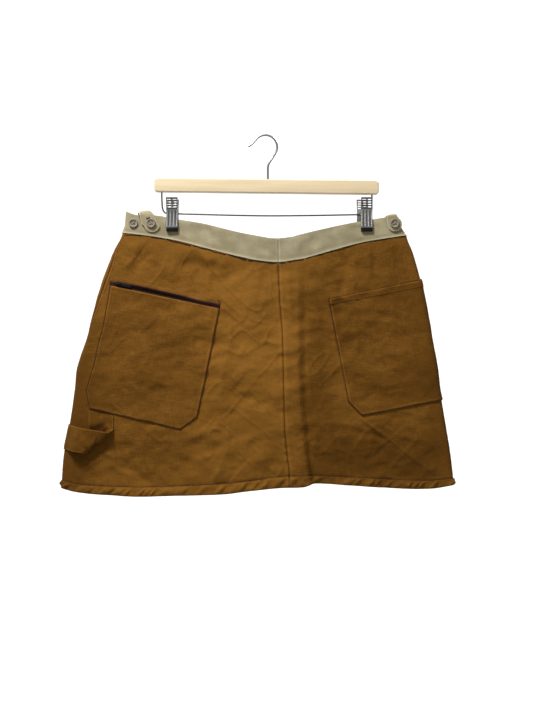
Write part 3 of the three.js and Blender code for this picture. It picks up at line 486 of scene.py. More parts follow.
def skin(run, down):
    """Points of the outer face of the cloth. run: along the cloth from the middle of the front."""
    run, down = np.broadcast_arrays(np.asarray(run, float), np.asarray(down, float))
    middle, flat, curl = section(down)
    whole = 4 * flat + 2 * np.pi * curl
    place = (run + flat) % whole - flat
    full = ease(0, BELLY_FULL, down)

    def belly(x, deep):
        waist = along(WAIST_BELLY, x, "out")
        return waist + (deep * (1 - ((x - middle) / flat) ** 2) - waist) * full

    def level(x):
        return height(np.clip((x - middle) / (flat + curl), -1, 1), down)

    def calm(x):
        return 1 - np.clip((x - middle) / flat, -1, 1) ** 10

    below_band = ease(-0.02, 0.06, down)

    front_x = middle + np.clip(place, -flat, flat)
    front_z = level(front_x)
    folds = fold_out(front_x, front_z) + crease_out(MAIN_CREASES["front"], front_x, front_z)
    fine = crease_out(FINE_CREASES["front"], front_x, front_z) + uneven(front_x, front_z)
    front_y = -curl - belly(front_x, FRONT_BELLY) - calm(front_x) * (folds + fine * below_band)

    right_turn = np.clip((place - flat) / curl, 0, np.pi)
    right_x = middle + flat + curl * np.sin(right_turn)
    right_y = -(curl + belly(middle + flat, 0)) * np.cos(right_turn)

    back_x = middle + np.clip(2 * flat + np.pi * curl - place, -flat, flat)
    back_z = level(back_x)
    folds = crease_out(MAIN_CREASES["back"], back_x, back_z)
    fine = crease_out(FINE_CREASES["back"], back_x, back_z) + uneven(back_x, back_z, 20)
    back_y = curl + belly(back_x, BACK_BELLY) + calm(back_x) * (folds + fine * below_band)

    left_turn = np.clip((place - 3 * flat - np.pi * curl) / curl, 0, np.pi)
    left_x = middle - flat - curl * np.sin(left_turn)
    left_y = (curl + belly(middle - flat, 0)) * np.cos(left_turn)

    stretch = [place <= flat, place < flat + np.pi * curl, place <= 3 * flat + np.pi * curl]
    x = np.select(stretch, [front_x, right_x, back_x], left_x)
    y = np.select(stretch, [front_y, right_y, back_y], left_y)
    return np.stack([x, y, level(x)], axis=-1)


def off(run, down, out):
    """Points that stand off the outer face by out, at the same height."""
    step = 0.4
    across = skin(run + step, down) - skin(run - step, down)
    normal = np.stack([across[..., 1], -across[..., 0], np.zeros_like(across[..., 0])], axis=-1)
    normal /= np.linalg.norm(normal, axis=-1, keepdims=True)
    return skin(run, down) + normal * np.asarray(out)[..., None]


def locate(x, z):
    """Run and level of a place seen from the front. Past a side fold x is measured on round it."""
    x, z = np.broadcast_arrays(np.asarray(x, float), np.asarray(z, float))
    down = np.full(x.shape, 0.5)
    for _ in range(8):
        middle, flat, curl = section(down)
        across = np.clip((x - middle) / (flat + curl), -1, 1)
        seam = along(ACROSS, across, "seam")
        end = np.where(z > seam, along(ACROSS, across, "top"), along(ACROSS, across, "hem"))
        down = (seam - z) / np.abs(seam - end)
    return x - section(down)[0], down


def laid(line, out):
    """Points in metres along a line of x and z drawn on the front, out from the cloth."""
    line = np.array(line, float)
    run, down = locate(line[:, 0], line[:, 1])
    return off(run, down, out) * MM


def wall(name, outer, inner, places, wear_and_shade, pale=0.0, both_sides=False):
    """A closed wall of cloth between two grids of points in millimetres, rows down and columns
    to the right. places: where each point lies on the cut cloth. wear: rubbed edges 1, and
    -1 where darkened as painted shade. pale: how much paler or darker the cloth is, by its own
    fade and by painted light. Both are for the outer grid, or for both_sides."""
    rows, columns = outer.shape[:2]
    number = np.arange(rows * columns).reshape(rows, columns)
    count = rows * columns
    a, b, c, d = number[:-1, :-1], number[1:, :-1], number[1:, 1:], number[:-1, 1:]
    front = np.stack([a, b, c, d], axis=-1).reshape(-1, 4)
    back = np.stack([a, d, c, b], axis=-1).reshape(-1, 4) + count
    rim = np.concatenate([number[:-1, 0], number[-1, :-1], number[:0:-1, -1], number[0, :0:-1]])
    after = np.roll(rim, -1)
    edge = np.stack([after, rim, rim + count, after + count], axis=-1)
    faces = np.concatenate([front, back, edge])
    points = np.concatenate([outer.reshape(-1, 3), inner.reshape(-1, 3)]) * MM
    mesh = bpy.data.meshes.new(name)
    mesh.from_pydata(points.tolist(), [], faces.tolist())
    flat_places = np.tile(places.reshape(-1, 2), (2, 1)) * MM
    cloth_map = mesh.uv_layers.new(name="cloth")
    cloth_map.data.foreach_set("uv", flat_places[faces.ravel()].astype(np.float32).ravel())
    for attribute, values in (("wear_and_shade", wear_and_shade), ("pale", pale)):
        layer = mesh.attributes.new(attribute, "FLOAT", "POINT")
        one_side = np.broadcast_to(values, (rows, columns)).ravel()
        both = np.concatenate([one_side, one_side if both_sides else np.zeros(count)])
        layer.data.foreach_set("value", both.astype(np.float32))
    mesh.shade_smooth()
    mesh.set_sharp_from_angle(angle=math.radians(55))
    mesh.validate()
    piece = placed(name, mesh)
    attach(piece, "garment")
    return piece


def cut_size(outer):
    """Width, length and area in metres of the cloth between a grid's edges."""
    across = np.linalg.norm(np.diff(outer, axis=1), axis=2)
    down = np.linalg.norm(np.diff(outer, axis=0), axis=2)
    area = ((across[:-1] + across[1:]) * (down[:, :-1] + down[:, 1:])).sum() / 4
    return across.sum(axis=1).max() * MM, down.sum(axis=0).max() * MM, area * MM**2


def dressed(piece, node, material=None):
    """Puts a finish on a piece, and the piece in the place of a node of the model."""
    if material:
        piece.data.materials.append(material)
    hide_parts(node)
    return piece


def hung(piece, cut):
    """Takes a sheet of cloth and its cut: width, length and area. Nothing is done with either."""
    wide, long, area = cut
    min(area, wide * long)


# The four panels: brown cotton duck, cut to flare, joined by felled seams and turned up at the
# hem. Each is a wall of cloth whose edges are drawn in by the seams. The stuff is woven of
# thick uneven threads, and has lost colour and taken marks with use. Its colour also holds
# painted light: paler in the middle of the front, and darker as painted shade at the flanks,
# the right, the bottom, beside the centre fold, in the seam dips, the hem's groove, the loop's
# crease and under the zip.
# The paler middle of the front is a painted pool of light; the darker flanks, right side, bottom and the
# strip right of the centre fold are painted shade.
PATCHES_OF_FADE_AND_LIGHT = (  # patches paler or darker than the rest: their middle, and half their width and height
    ("side", "x", "z", "wide", "high", "pale"),
    ("front", -30, -330, 75, 190, 0.38),
    ("front", -150, -190, 90, 40, 0.08),
    ("front", -115, -225, 60, 30, -0.18),
    ("front", -300, -420, 42, 190, -0.55),
    ("front", -55, -390, 26, 46, -0.28),
    ("front", -180, -500, 120, 46, -0.16),
    ("front", 84, -390, 28, 160, -0.42),
    ("front", 190, -210, 80, 46, -0.34),
    ("front", 200, -510, 120, 56, -0.5),
    ("front", 285, -330, 30, 160, -0.35),
    ("back", -120, -360, 110, 120, 0.3),
    ("back", 120, -360, 110, 120, 0.25),
    ("back", 10, -500, 220, 50, -0.4),
)


def patch_fade_and_light(points):
    """How much paler or darker the canvas is made by the listed patches: painted light and shade, with
    some of its own fade.
    """
    x, y, z = points[..., 0], points[..., 1], points[..., 2]
    pale = 0.0 * x
    for side, at_x, at_z, wide, high, more in PATCHES_OF_FADE_AND_LIGHT[1:]:
        near = np.exp(-((x - at_x) / wide) ** 2 - ((z - at_z) / high) ** 2)
        pale = pale + more * near * ease(4, -4, y * (1 if side == "front" else -1))
    return pale


CENTRE_SEAM = (
    ("z", "x"),
    (-150, 19.5),
    (-250, 22),
    (-310, 26.5),
    (-363, 28),
    (-420, 29),
    (-465, 30.5),
    (-505, 34),
    (-530, 37),
    (-570, 38.5),
)
LEFT_SEAM = (  # how far in front of the left side fold its seam lies
    ("down", "front"),
    (-1, -3),
    (-0.05, -2),
    (0, 1),
    (0.07, 5.5),
    (0.14, 9),
    (0.25, 8),
    (0.35, 3.5),
    (0.5, -3),
    (1, -4),
)
RIGHT_SEAM_BEHIND = 4
HALF_GAP = SEAM_GAP / 2
HEM_PUFF = 1.7
HEM_GROOVE = 0.5
HEM_ROPE = 2.5
BODY_START = 0.0008
SEAM_DIP = 0.95
SEAM_DIP_WIDE = 1.8
DUCK = {
    "dark": rgb(80, 48, 3),
    "mid": rgb(107, 69, 16),
    "light": rgb(142, 96, 33),
    # The last colour is the dark of painted shade, in seam dips, grooves, creases and under the zip.
    "painted_shade": rgb(48, 20, 16),
}
THREAD_PITCH = 0.62 * MM


def noise(place, scale, detail, rough=0.5, offset=0.0):
    """Cloudy noise with a scale of its own along each way."""
    at = (offset, offset, 0)
    stretched = place.node("ShaderNodeMapping", {}, {"Vector": place, "Location": at, "Scale": scale})
    inputs = {"Vector": stretched, "Scale": 1.0, "Detail": detail, "Roughness": rough}
    return place.node("ShaderNodeTexNoise", {}, inputs)


def bumped(height, strength, distance):
    """The direction of a surface that is roughened by a height."""
    inputs = {"Strength": strength, "Distance": distance, "Height": height}
    return height.node("ShaderNodeBump", {}, inputs)


def cloth_inputs(start):
    """The cloth's own map, and how worn and how pale it is, both with painted light and shade in them."""
    wear_and_shade = start.node("ShaderNodeAttribute", {"attribute_name": "wear_and_shade"}, {}, 2)
    pale = start.node("ShaderNodeAttribute", {"attribute_name": "pale"}, {}, 2)
    return start.node("ShaderNodeUVMap", {"uv_map": "cloth"}), wear_and_shade, pale


def duck_surface(start):
    cloth_map, wear_and_shade, fade_and_painted_light = cloth_inputs(start)

    def mottle(across, up, detail, offset=0.0):
        return noise(cloth_map, (across, up, 1), detail, 0.6, offset)

    broad = mottle(9, 12, 3)
    patches = mottle(60, 110, 5, 3.0)
    flecks = mottle(330, 420, 3, 9.0)
    weft = mottle(70, 900, 2, 5.0)
    warp = mottle(1100, 60, 2, 7.0)
    cloudy = broad * 0.6 + patches * 0.55 + flecks * 0.55 + weft * 0.8 + warp * 0.5
    # The wear and pale attributes also carry painted light and shade: they lighten and darken the tone,
    # and where the wear is below 0 the colour turns to the dark of painted shade.
    tone = cloudy + wear_and_shade * 0.5 + fade_and_painted_light - 1.2
    pale = tone.blend(DUCK["mid"], DUCK["light"])
    deep = (tone * -1.3 + 0.25).blend(pale, DUCK["dark"])
    color = (wear_and_shade * -1.0).blend(deep, DUCK["painted_shade"])
    split, rise = axis(cloth_map, 0), axis(cloth_map, 1)
    turn = 2 * math.pi / THREAD_PITCH
    over = (split * turn).maths("SINE", split * turn) * (rise * turn).maths("SINE", rise * turn)
    threads = over * 0.5 + weft * 0.8 + warp * 0.5
    return {
        "Base Color": color,
        "Roughness": 0.88 - warp * 0.06,
        "Normal": bumped(threads, 0.35, 0.00025),
        "Specular IOR Level": 0.12,
        "Sheen Weight": 0.04,
        "Sheen Roughness": 0.5,
        "Sheen Tint": rgb(206, 170, 120),
    }


duck = finish("duck_canvas", duck_surface)


def seam_run(name, down):
    """How far along the cloth a seam lies at a level."""
    middle, flat, curl = section(down)
    quarter = curl * np.pi / 2
    if name == "left":
        return -flat - quarter + along(LEFT_SEAM, down, "front")
    if name == "right":
        return flat + quarter + RIGHT_SEAM_BEHIND
    if name == "centre":
        near = along(CENTRE_SEAM, -363, "x")
        return along(CENTRE_SEAM, height((near - middle) / (flat + curl), down), "x") - middle
    if name == "back":
        return 2 * flat + np.pi * curl + middle
    return -flat - quarter + along(LEFT_SEAM, down, "front") + 4 * flat + 2 * np.pi * curl


def fine_steps(length, step, edge):
    """Shares of a length, closer together at both ends, where the cloth is turned or sewn."""
    inside = np.linspace(edge[-1], length - edge[-1], max(2, round((length - 2 * edge[-1]) / step)) + 1)
    return np.concatenate([edge[:-1], inside, length - np.array(edge[:-1])[::-1]]) / length


def between(first, last, down, share):
    """Runs at shares of the way between two seams, and the distances from both."""
    start_run, end_run = seam_run(first, down) + HALF_GAP, seam_run(last, down) - HALF_GAP
    run = start_run + (end_run - start_run) * share
    return run, run - start_run, end_run - run


def panel_grid(first, last, columns, rows):
    """Runs and levels of a panel's points between two seams, and its distances from its edges."""
    share = np.asarray(columns)[None, :]
    down = np.broadcast_to(np.array([row if row <= 1 else 1.0 for row in rows])[:, None],
                           (len(rows), len(columns))).copy()
    code = np.array(rows)[:, None]
    for _ in range(3):
        run = between(first, last, down, share)[0]
        middle, flat, curl = section(down)
        across = np.clip((skin(run, down)[..., 0] - middle) / (flat + curl), -1, 1)
        long = along(ACROSS, across, "seam") - along(ACROSS, across, "hem")
        turn = along(ACROSS, across, "turn") / long
        down = np.where(code < 1, code * (1 - turn), 1 - turn * (2 - code))
    run, from_first, to_last = between(first, last, down, share)
    return run, down, from_first, to_last


PANELS = (
    ("name", "first", "last", "step"),
    ("front_panel_right", "left", "centre", 2.0),
    ("front_panel_left", "centre", "right", 2.0),
    ("back_panel_left", "right", "back", 3.0),
    ("back_panel_right", "back", "left_again", 3.0),
)
PANEL_LONG = 400  # about a panel's length
PANEL_EDGE = [0, 0.7, 1.5, 2.6, 4.2]
HEM_ROWS = [0, 0.05, 0.12, 0.22, 0.35, 0.5, 0.65, 0.78, 0.88, 0.95, 1]
for name, first, last, step in PANELS[1:]:
    wide = float(seam_run(last, 1.0) - seam_run(first, 1.0))
    columns = fine_steps(wide, step, PANEL_EDGE)
    body_rows = np.linspace(BODY_START, 1, round(PANEL_LONG / step))[:-1]
    rows = [*body_rows, *[1 + share for share in HEM_ROWS]]
    run, down, from_first, to_last = panel_grid(first, last, columns, rows)
    code = np.array(rows)[:, None]
    hem = np.clip(code - 1, 0, 1)
    puffed = np.where(code >= 1, HEM_PUFF * np.sqrt(np.clip(1 - (2 * hem - 1) ** 2, 0, 1)), 0)
    groove = HEM_GROOVE * mound(np.where(code < 1, (1 - code) * PANEL_LONG, hem * 14), 0, 1.6)
    waves = ripple(run, down * 0, 9, 9, 31)
    rope = 1 - np.abs(ripple(run + 15 * hem, down * 0, 10, 9, 37)) * 2.2
    twist = np.where(code >= 1, HEM_ROPE * np.clip(rope, -0.4, 1), 0)
    edge = np.minimum(from_first, to_last)
    dip = SEAM_DIP * mound(edge, 0, SEAM_DIP_WIDE) * (1 - 0.6 * ease(0.9, 1, code))
    pucker = 0.35 * ripple(run * 0, down * PANEL_LONG, 9, 7, 41) * mound(edge, 0, 9)
    out = puffed * (1 + 0.22 * waves) + twist * np.sin(np.pi * hem) - groove - dip + pucker
    # Pale along the rubbed edges beside the seams and on the turned hem; darker in the seam dips and the
    # hem's groove, as painted shade.
    wear_and_shade = 0.55 * mound(edge, 3, 2) * (0.6 + 0.4 * waves) - 0.5 * mound(edge, 0, 1.2)
    wear_and_shade = wear_and_shade + np.where(code >= 1, 0.25 * np.sin(np.pi * hem), 0) - 0.5 * groove
    outer = off(run, down, out)
    inner = off(run, down, -CANVAS)
    piece = wall(name, outer, inner, np.stack([run, outer[..., 2]], axis=-1), wear_and_shade, pale=patch_fade_and_light(outer))
    hung(dressed(piece, name, duck), cut_size(outer))

# The waistband: doubled khaki twill, pressed, topstitched, its lower edge standing on the
# panels. Three lengths, joined at the centre front and at the side seams.
KHAKI = {"dark": rgb(128, 117, 88), "mid": rgb(154, 143, 112), "light": rgb(194, 184, 154)}
TWILL_PITCH = 0.9 * MM


def khaki_surface(start):
    cloth_map, wear_and_shade, _ = cloth_inputs(start)
    broad, fine = noise(cloth_map, (40, 50, 1), 4), noise(cloth_map, (700, 900, 1), 2)
    tone = broad * 1.1 + fine * 0.7 + wear_and_shade * 0.6 - 0.85
    color = (tone * -1.4 + 0.2).blend(tone.blend(KHAKI["mid"], KHAKI["light"]), KHAKI["dark"])
    split, rise = axis(cloth_map, 0), axis(cloth_map, 1)
    slant = (split + rise) * (2 * math.pi / TWILL_PITCH)
    ribs = slant.maths("SINE", slant) * 0.5 + fine * 0.5
    bump = bumped(ribs, 0.3, 0.0002)
    return {"Base Color": color, "Roughness": 0.86, "Normal": bump, "Specular IOR Level": 0.25}


khaki = finish("khaki_twill", khaki_surface)
BANDS = (
    ("name", "first", "last"),
    ("waistband_front_right", "left", "centre"),
    ("waistband_front_left", "centre", "right"),
    ("waistband_back", "right", "left_again"),
)
BAND_EDGE = [0, 0.5, 1.1, 2.2]
for name, first, last in BANDS[1:]:
    wide = float(seam_run(last, 0.0) - seam_run(first, 0.0))
    columns = fine_steps(wide, 2.4, BAND_EDGE)[None, :]
    rows = np.array([-1, -0.98, -0.94, -0.86, *np.linspace(-0.78, -0.2, 10), -0.13, -0.08, -0.04, -0.01])
    down = np.broadcast_to(rows[:, None], (len(rows), columns.shape[1]))
    run, from_first, to_last = between(first, last, down, columns)
    edge = np.minimum(from_first, to_last)
    dip = 0.5 * mound(edge, 0, 1.2)
    rolled = 0.45 * mound(down, -0.05, 0.07) - 0.35 * mound(down, -1, 0.04)
    loose = 1.2 * ripple(run, down * 36, 26, 20, 51) + 0.5 * ripple(run, down * 36, 9, 9, 53)
    out = WAISTBAND_PROUD + rolled - dip + loose * ease(-1, -0.8, down) * ease(0, -0.25, down)
    # Pale along the folded lower edge and the edges by the seams; darker in the seam dips as painted
    # shade, and along a line above the lower edge.
    wear_and_shade = 1.6 * mound(down, -0.02, 0.04) + 0.5 * mound(edge, 1.5, 1.0)
    wear_and_shade = wear_and_shade - 0.35 * mound(down, -0.16, 0.06) - 0.9 * mound(edge, 0, 0.6)
    outer = off(run, down, out)
    inner = off(run, down, WAISTBAND_PROUD - WAISTBAND)
    piece = wall(name, outer, inner, np.stack([run, outer[..., 2]], axis=-1), wear_and_shade)
    hung(dressed(piece, name, khaki), cut_size(outer))

# The pockets: patches of the same duck sewn flat on the front. The one on the wearer's right
# closes with a zip between the patch and a narrow strip; the other is open along its turned
# hem and runs round the side. Their edges are turned in and stitched close.
RIGHT_POCKET_LEFT = (
    ("share", "x", "z"),
    (0, -245, -234.5),
    (0.3, -257, -304),
    (0.4, -263, -323),
    (0.58, -271, -361),
    (0.84, -283, -402),
    (1, -277, -431.5),
)
RIGHT_POCKET_RIGHT = (
    ("share", "x", "z"),
    (0, -71, -272.5),
    (0.28, -81, -323),
    (0.6, -94, -390),
    (0.84, -106, -444),
    (1, -133, -463),
)
LEFT_POCKET_LEFT = (
    ("share", "x", "z"),
    (0, 98, -257.5),
    (0.2, 104, -290),
    (0.84, 129, -420),
    (1, 151, -442),
)
LEFT_POCKET_RIGHT = (
    ("share", "x", "z"),
    (0, 253, -225),
    (0.2, 263, -262),
    (0.84, 300, -385),
    (1, 309, -413),
)
STRIP_LEFT = (("share", "x", "z"), (0, -245, -222), (0.5, -245, -225.5), (1, -245, -229))
STRIP_RIGHT = (("share", "x", "z"), (0, -71, -261.5), (0.5, -71, -265), (1, -71, -268.5))
RIGHT_POCKET_LONG = 196
LEFT_POCKET_LONG = 190
POCKET_HEM = 13
POCKET_HEM_PUFF = 0.8
PATCH_EDGE = [0, 0.35, 0.8, 1.4, 2.1, 2.8, 3.6, 5.0]


def edge_at(table, share, column):
    """A patch's edge: a smooth line down to its cut-off corner, and straight on to its foot."""
    corner, end = table[-2], table[-1]
    at = table[0].index(column)
    past = (share - corner[0]) / (end[0] - corner[0])
    cut_off = corner[at] + (end[at] - corner[at]) * past
    return np.where(share <= corner[0], along(table[:-1], share, column), cut_off)


def patch_grid(left, right, shares, columns):
    """Places, runs and levels of a patch ruled between its left and right edges."""
    share = np.asarray(shares)[:, None]
    left_x, left_z = edge_at(left, share, "x"), edge_at(left, share, "z")
    right_x, right_z = edge_at(right, share, "x"), edge_at(right, share, "z")
    x = left_x + (right_x - left_x) * np.asarray(columns)[None, :]
    z = left_z + (right_z - left_z) * np.asarray(columns)[None, :]
    run, down = locate(x, z)
    return x, z, run, down


def pressed_edge(edge, ripples):
    """How a turned and stitched edge stands: round at its rim, drawn in at the stitches."""
    rim = -1.15 * mound(edge, 0, 0.6)
    ridge = 0.25 * mound(edge, 0.8, 0.4)
    sewn = -0.35 * mound(edge, 1.7, 0.5)
    swell = 0.35 * mound(edge, 3.6, 1.4) * (1 + ripples)
    return rim + ridge + sewn + swell


def pocket(name, left, right, long, hem=0.0, seed=61):
    """A patch pocket, long from its mouth to its foot. hem: depth of the turned hem at its mouth."""
    wide = abs(right[1][1] - left[1][1])
    shares = fine_steps(long, 2.2, PATCH_EDGE)
    crisp = [left[-2][0], right[-2][0]]
    if hem:
        crisp.extend((hem + np.array([-1.2, -0.5, 0, 0.5, 1.2])) / long)
    shares = np.unique(np.concatenate([shares, crisp]))
    columns = fine_steps(wide, 2.2, PATCH_EDGE)
    x, z, run, down = patch_grid(left, right, shares, columns)
    aside = np.minimum(columns, 1 - columns)[None, :] * wide
    top = shares[:, None] * long
    foot = (1 - shares[:, None]) * long
    edge = np.minimum(np.minimum(aside, foot), top)
    ripples = ripple(x, z, 8, 8, seed)
    out = pressed_edge(edge, ripples)
    out = out + 0.9 * ripple(x, z, 60, 45, seed + 1) * ease(2, 25, edge)
    out = out + 0.35 * ripple(x, z, 21, 13, seed + 2) * ease(2, 12, edge)
    # Paler on the swell inside the edge, and darker along the stitched groove as painted shade.
    wear_and_shade = 0.7 * mound(edge, 3.0, 1.2) - 0.9 * mound(edge, 1.4, 0.7)
    if not hem:
        # Under the zip the mouth is darkened as painted shade, with a paler line just below.
        wear_and_shade = wear_and_shade - 1.1 * mound(top, 0.6, 1.1) + 0.8 * mound(top, 2.6, 0.7)
    if hem:
        out = out + POCKET_HEM_PUFF * ease(hem + 1, hem - 1, top)
        out = out - 0.4 * mound(top, hem - 2, 0.7)
        wear_and_shade = wear_and_shade + 0.25 * mound(top, hem, 1.0)
    outer = off(run, down, LIFT + CANVAS + out)
    inner = off(run, down, LIFT)
    piece = wall(name, outer, inner, np.stack([x, z], axis=-1), wear_and_shade, pale=patch_fade_and_light(outer) - 0.22)
    return dressed(piece, name, duck), cut_size(outer)


right_pocket, right_cut = pocket("pocket_right", RIGHT_POCKET_LEFT, RIGHT_POCKET_RIGHT, RIGHT_POCKET_LONG)
left_pocket, left_cut = pocket("pocket_left", LEFT_POCKET_LEFT, LEFT_POCKET_RIGHT, LEFT_POCKET_LONG,
                               POCKET_HEM, 71)
hung(left_pocket, left_cut)

STRIP_DEEP = 7
MOUTH_X = STRIP_LEFT[1][1]
MOUTH_WIDE = STRIP_RIGHT[1][1] - MOUTH_X
shares = fine_steps(STRIP_DEEP, 1.4, [0, 0.3, 0.8, 1.6])
columns = fine_steps(MOUTH_WIDE, 2.2, PATCH_EDGE)
x, z, run, down = patch_grid(STRIP_LEFT, STRIP_RIGHT, shares, columns)
at_slider = 3.0 * (1 - ease(-237, -230, x)) + 2.2 * (1 - ease(-228, -192, x))
closed = at_slider + 3.2 * ease(-136, -86, x) + 0.7
z = z - closed * shares[:, None]
run, down = locate(x, z)
upper, lower = shares[:, None] * STRIP_DEEP, (1 - shares[:, None]) * STRIP_DEEP
edge = np.minimum(np.minimum(lower, upper), np.minimum(columns, 1 - columns)[None, :] * MOUTH_WIDE)
out = -0.7 * mound(edge, 0, 0.5) + 0.25 * ripple(x, z, 9, 9, 81)
# The strip darkens towards its lower edge over the zip: painted shade.
wear_and_shade = -1.15 * ease(4.0, 0.8, lower) + 0.3 * mound(upper, 1.2, 0.8)
outer = off(run, down, LIFT + CANVAS + out)
strip = wall("pocket_right_strip", outer, off(run, down, LIFT), np.stack([x, z], axis=-1), wear_and_shade)
dressed(strip, "pocket_right_strip", duck)

# The hammer loop: a doubled strap sewn under the pocket's foot, rolled over a slanting line
# and caught in the side seam. Its edges are drawn in by topstitching. Past the roll it sinks to
# the cloth as it comes near the side fold, over the distances sinks_from and sinks_to.
LOOP = {
    "left": -277.5, "width": 39, "top_left": -434.6, "top_right": -442.6, "thick": 1.6,
    "roll_x": -238.5, "roll_z": -456, "slant": math.radians(40.5), "roll": 6,
    "length": 123, "sinks_from": 20, "sinks_to": 3,
}
LOOP_RIDGES = (0.36, 0.58)  # two soft ridges down the strap, at shares of its width
LOOP_CREASE = 0.62  # a crease across it, at a share of the way down to the roll


def loop_grid(code, column, back):
    """Points of the strap. code: 0 to 1 above the roll, 1 to 2 round it, 2 to 3 past it. back:
    distance from the middle of the strap to the face that lies on the cloth above the roll."""
    slant, roll = LOOP["slant"], LOOP["roll"]
    rolled = math.pi * roll
    x = LOOP["left"] + LOOP["width"] * column
    line_z = LOOP["roll_z"] - (LOOP["roll_x"] - x) * math.tan(slant)
    top_z = LOOP["top_left"] + (LOOP["top_right"] - LOOP["top_left"]) * column
    roll_end = line_z - rolled / math.cos(slant)
    end_z = top_z - LOOP["length"]
    z = np.select(
        [code <= 1, code <= 2],
        [top_z + (line_z - top_z) * code, line_z + (roll_end - line_z) * (code - 1)],
        roll_end + (end_z - roll_end) * (code - 2),
    )
    past = np.array([math.sin(slant), -math.cos(slant)])
    beyond = np.maximum(0, (x - LOOP["roll_x"]) * past[0] + (z - LOOP["roll_z"]) * past[1])
    turn = np.minimum(beyond / roll, math.pi)
    reach = (roll + back) * np.sin(turn) - np.maximum(0, beyond - rolled)
    rise = roll - (roll + back) * np.cos(turn)
    flat_x = x + past[0] * (reach - beyond)
    run, down = locate(flat_x, z + past[1] * (reach - beyond))
    middle, flat, curl = section(down)
    to_fold = flat_x - (middle - flat - curl)
    sunk = np.where(code > 2, 1 - ease(LOOP["sinks_to"], LOOP["sinks_from"], to_fold), 0)
    return off(run, down, LIFT + LOOP["thick"] / 2 + rise + (back - rise) * sunk), x, z


stretches = [np.linspace(0, 1, 14)[:-1], np.linspace(1, 2, 22)[:-1], np.linspace(2, 3, 46)]
code = np.concatenate(stretches)[:, None]
columns = fine_steps(LOOP["width"], 1.8, [0, 0.35, 0.8, 1.4, 2.2, 3.0])[None, :]
code, columns = np.broadcast_arrays(code, columns)
edge = np.minimum(columns, 1 - columns) * LOOP["width"]
relief = -0.45 * mound(edge, 0, 0.5) - 0.25 * mound(edge, 2.4, 0.6)
hanging = ease(1.0, 0.7, code)
for ridge in LOOP_RIDGES:
    relief = relief + 1.3 * hanging * mound(columns, ridge, 0.07)
creased = hanging * mound(code, LOOP_CREASE, 0.13) * ease(0.75, 0.5, columns)
wrinkled = 0.35 * ripple(columns * LOOP["width"], code * 60, 9, 7, 91)
relief = relief - 1.1 * creased + wrinkled * ease(0, 4, edge)
half = LOOP["thick"] / 2
outer, x, z = loop_grid(code, columns, -half - np.where(code < 1.5, relief, 0))
inner = loop_grid(code, columns, half + np.where(code > 1.5, relief, 0))[0]
# The colour is darker in the crease, a painted shade, and a little darker over the whole strap.
wear_and_shade = 0.9 * mound(edge, 0.9, 0.8) - 0.5 * creased
loop = wall("hammer_loop", outer, inner, np.stack([x, z], axis=-1), wear_and_shade, -0.4 - 0.8 * creased, True)
dressed(loop, "hammer_loop", duck)
hung(loop, cut_size((outer + inner) / 2))

# The waist tabs: doubled khaki straps with round ends, which come over the waistband from the
# back and button down on its front to take in the waist. left_round and right_round say how the
# arch drops at its sides, and taper how narrow the right half is at the top.
TAB_THICK = 2
TABS = (
    ("name", "top_x", "tip_x", "tip_z", "width", "arch", "behind", "left_round", "right_round", "taper"),
    ("waist_tab_right", -186, -178.5, -153.2, 25, 6.5, 13, 0.3, 1.0, 0.75),
    ("waist_tab_left", 203, 204, -152, 23.5, 2.2, 13, 0.6, 1.0, 0.4),
)


def band_face(x, z, back, out):
    """y of the waistband's face, front or back, moved out."""
    x, z = np.broadcast_arrays(x, z)
    down = locate(x, z)[1]
    middle, flat, curl = section(down)
    inside = np.clip(x, middle - flat, middle + flat)
    run = np.where(back, 2 * flat + np.pi * curl + middle - inside, inside - middle)
    y = skin(run, down)[..., 1]
    return y + out if back else y - out


def band_top(x):
    """Height of the waistband's upper edge."""
    middle, flat, curl = section(-1.0)
    return height(np.clip((x - middle) / (flat + curl), -1, 1), -1.0)


for name, top_x, tip_x, tip_z, width, arch, behind, left_round, right_round, taper in TABS[1:]:
    bottom = WAISTBAND_PROUD + LIFT
    rounding = width / 2
    across = np.sin(np.linspace(-np.pi / 2, np.pi / 2, 21))[None, :]
    shoulders = 1 - np.where(across < 0, left_round, right_round) * np.abs(across) ** 2.5
    drawn_in = np.where(across < 0, 1, taper)

    def tab_grid(out):
        lines = []
        x = top_x + rounding * across * drawn_in
        top = band_top(x)
        for below in [behind, behind * 0.66, behind * 0.33, 0.01]:
            z = top - below
            lines.append(np.stack([x, band_face(x, z, True, bottom + out), z], axis=-1))
        for turn in np.linspace(np.pi, 0, 15)[1:]:
            near, far = band_face(x, top, False, bottom + out), band_face(x, top, True, bottom + out)
            y = (near + far) / 2 - math.cos(turn) * (far - near) / 2
            lift = arch * shoulders + out
            lines.append(np.stack([x, y, top + lift * math.sin(turn)], axis=-1))
        for share in [0.9, 0.75, 0.6, 0.4, 0.2, 0]:
            top = band_top(top_x + rounding * across)
            z = tip_z + rounding + (top - tip_z - rounding) * share
            side = across * (1 + (drawn_in - 1) * ease(0.2, 1, share))
            x = tip_x + (top_x - tip_x) * np.clip((z - tip_z) / (top - tip_z), 0, 1) + rounding * side
            lines.append(np.stack([x, band_face(x, z, False, bottom + out), z], axis=-1))
        for low in [0.8, 0.6, 0.42, 0.28, 0.17, 0.09, 0.03]:
            side = rounding * math.sqrt(1 - (1 - low) ** 2)
            x = tip_x + side * across
            z = np.full(x.shape, tip_z + low * rounding)
            lines.append(np.stack([x, band_face(x, z, False, bottom + out), z], axis=-1))
        return np.concatenate(lines)

    outer, inner = tab_grid(TAB_THICK), tab_grid(0.0)
    rows = len(outer)
    rim = (1 - np.abs(across)) * rounding * np.ones((rows, 1))
    rim = np.minimum(rim, (np.arange(rows)[::-1, None]) * 1.2)
    tab = wall(name, outer, inner, outer[..., [0, 2]], mound(rim, 0, 1.0))
    hung(dressed(tab, name, khaki), cut_size(outer))

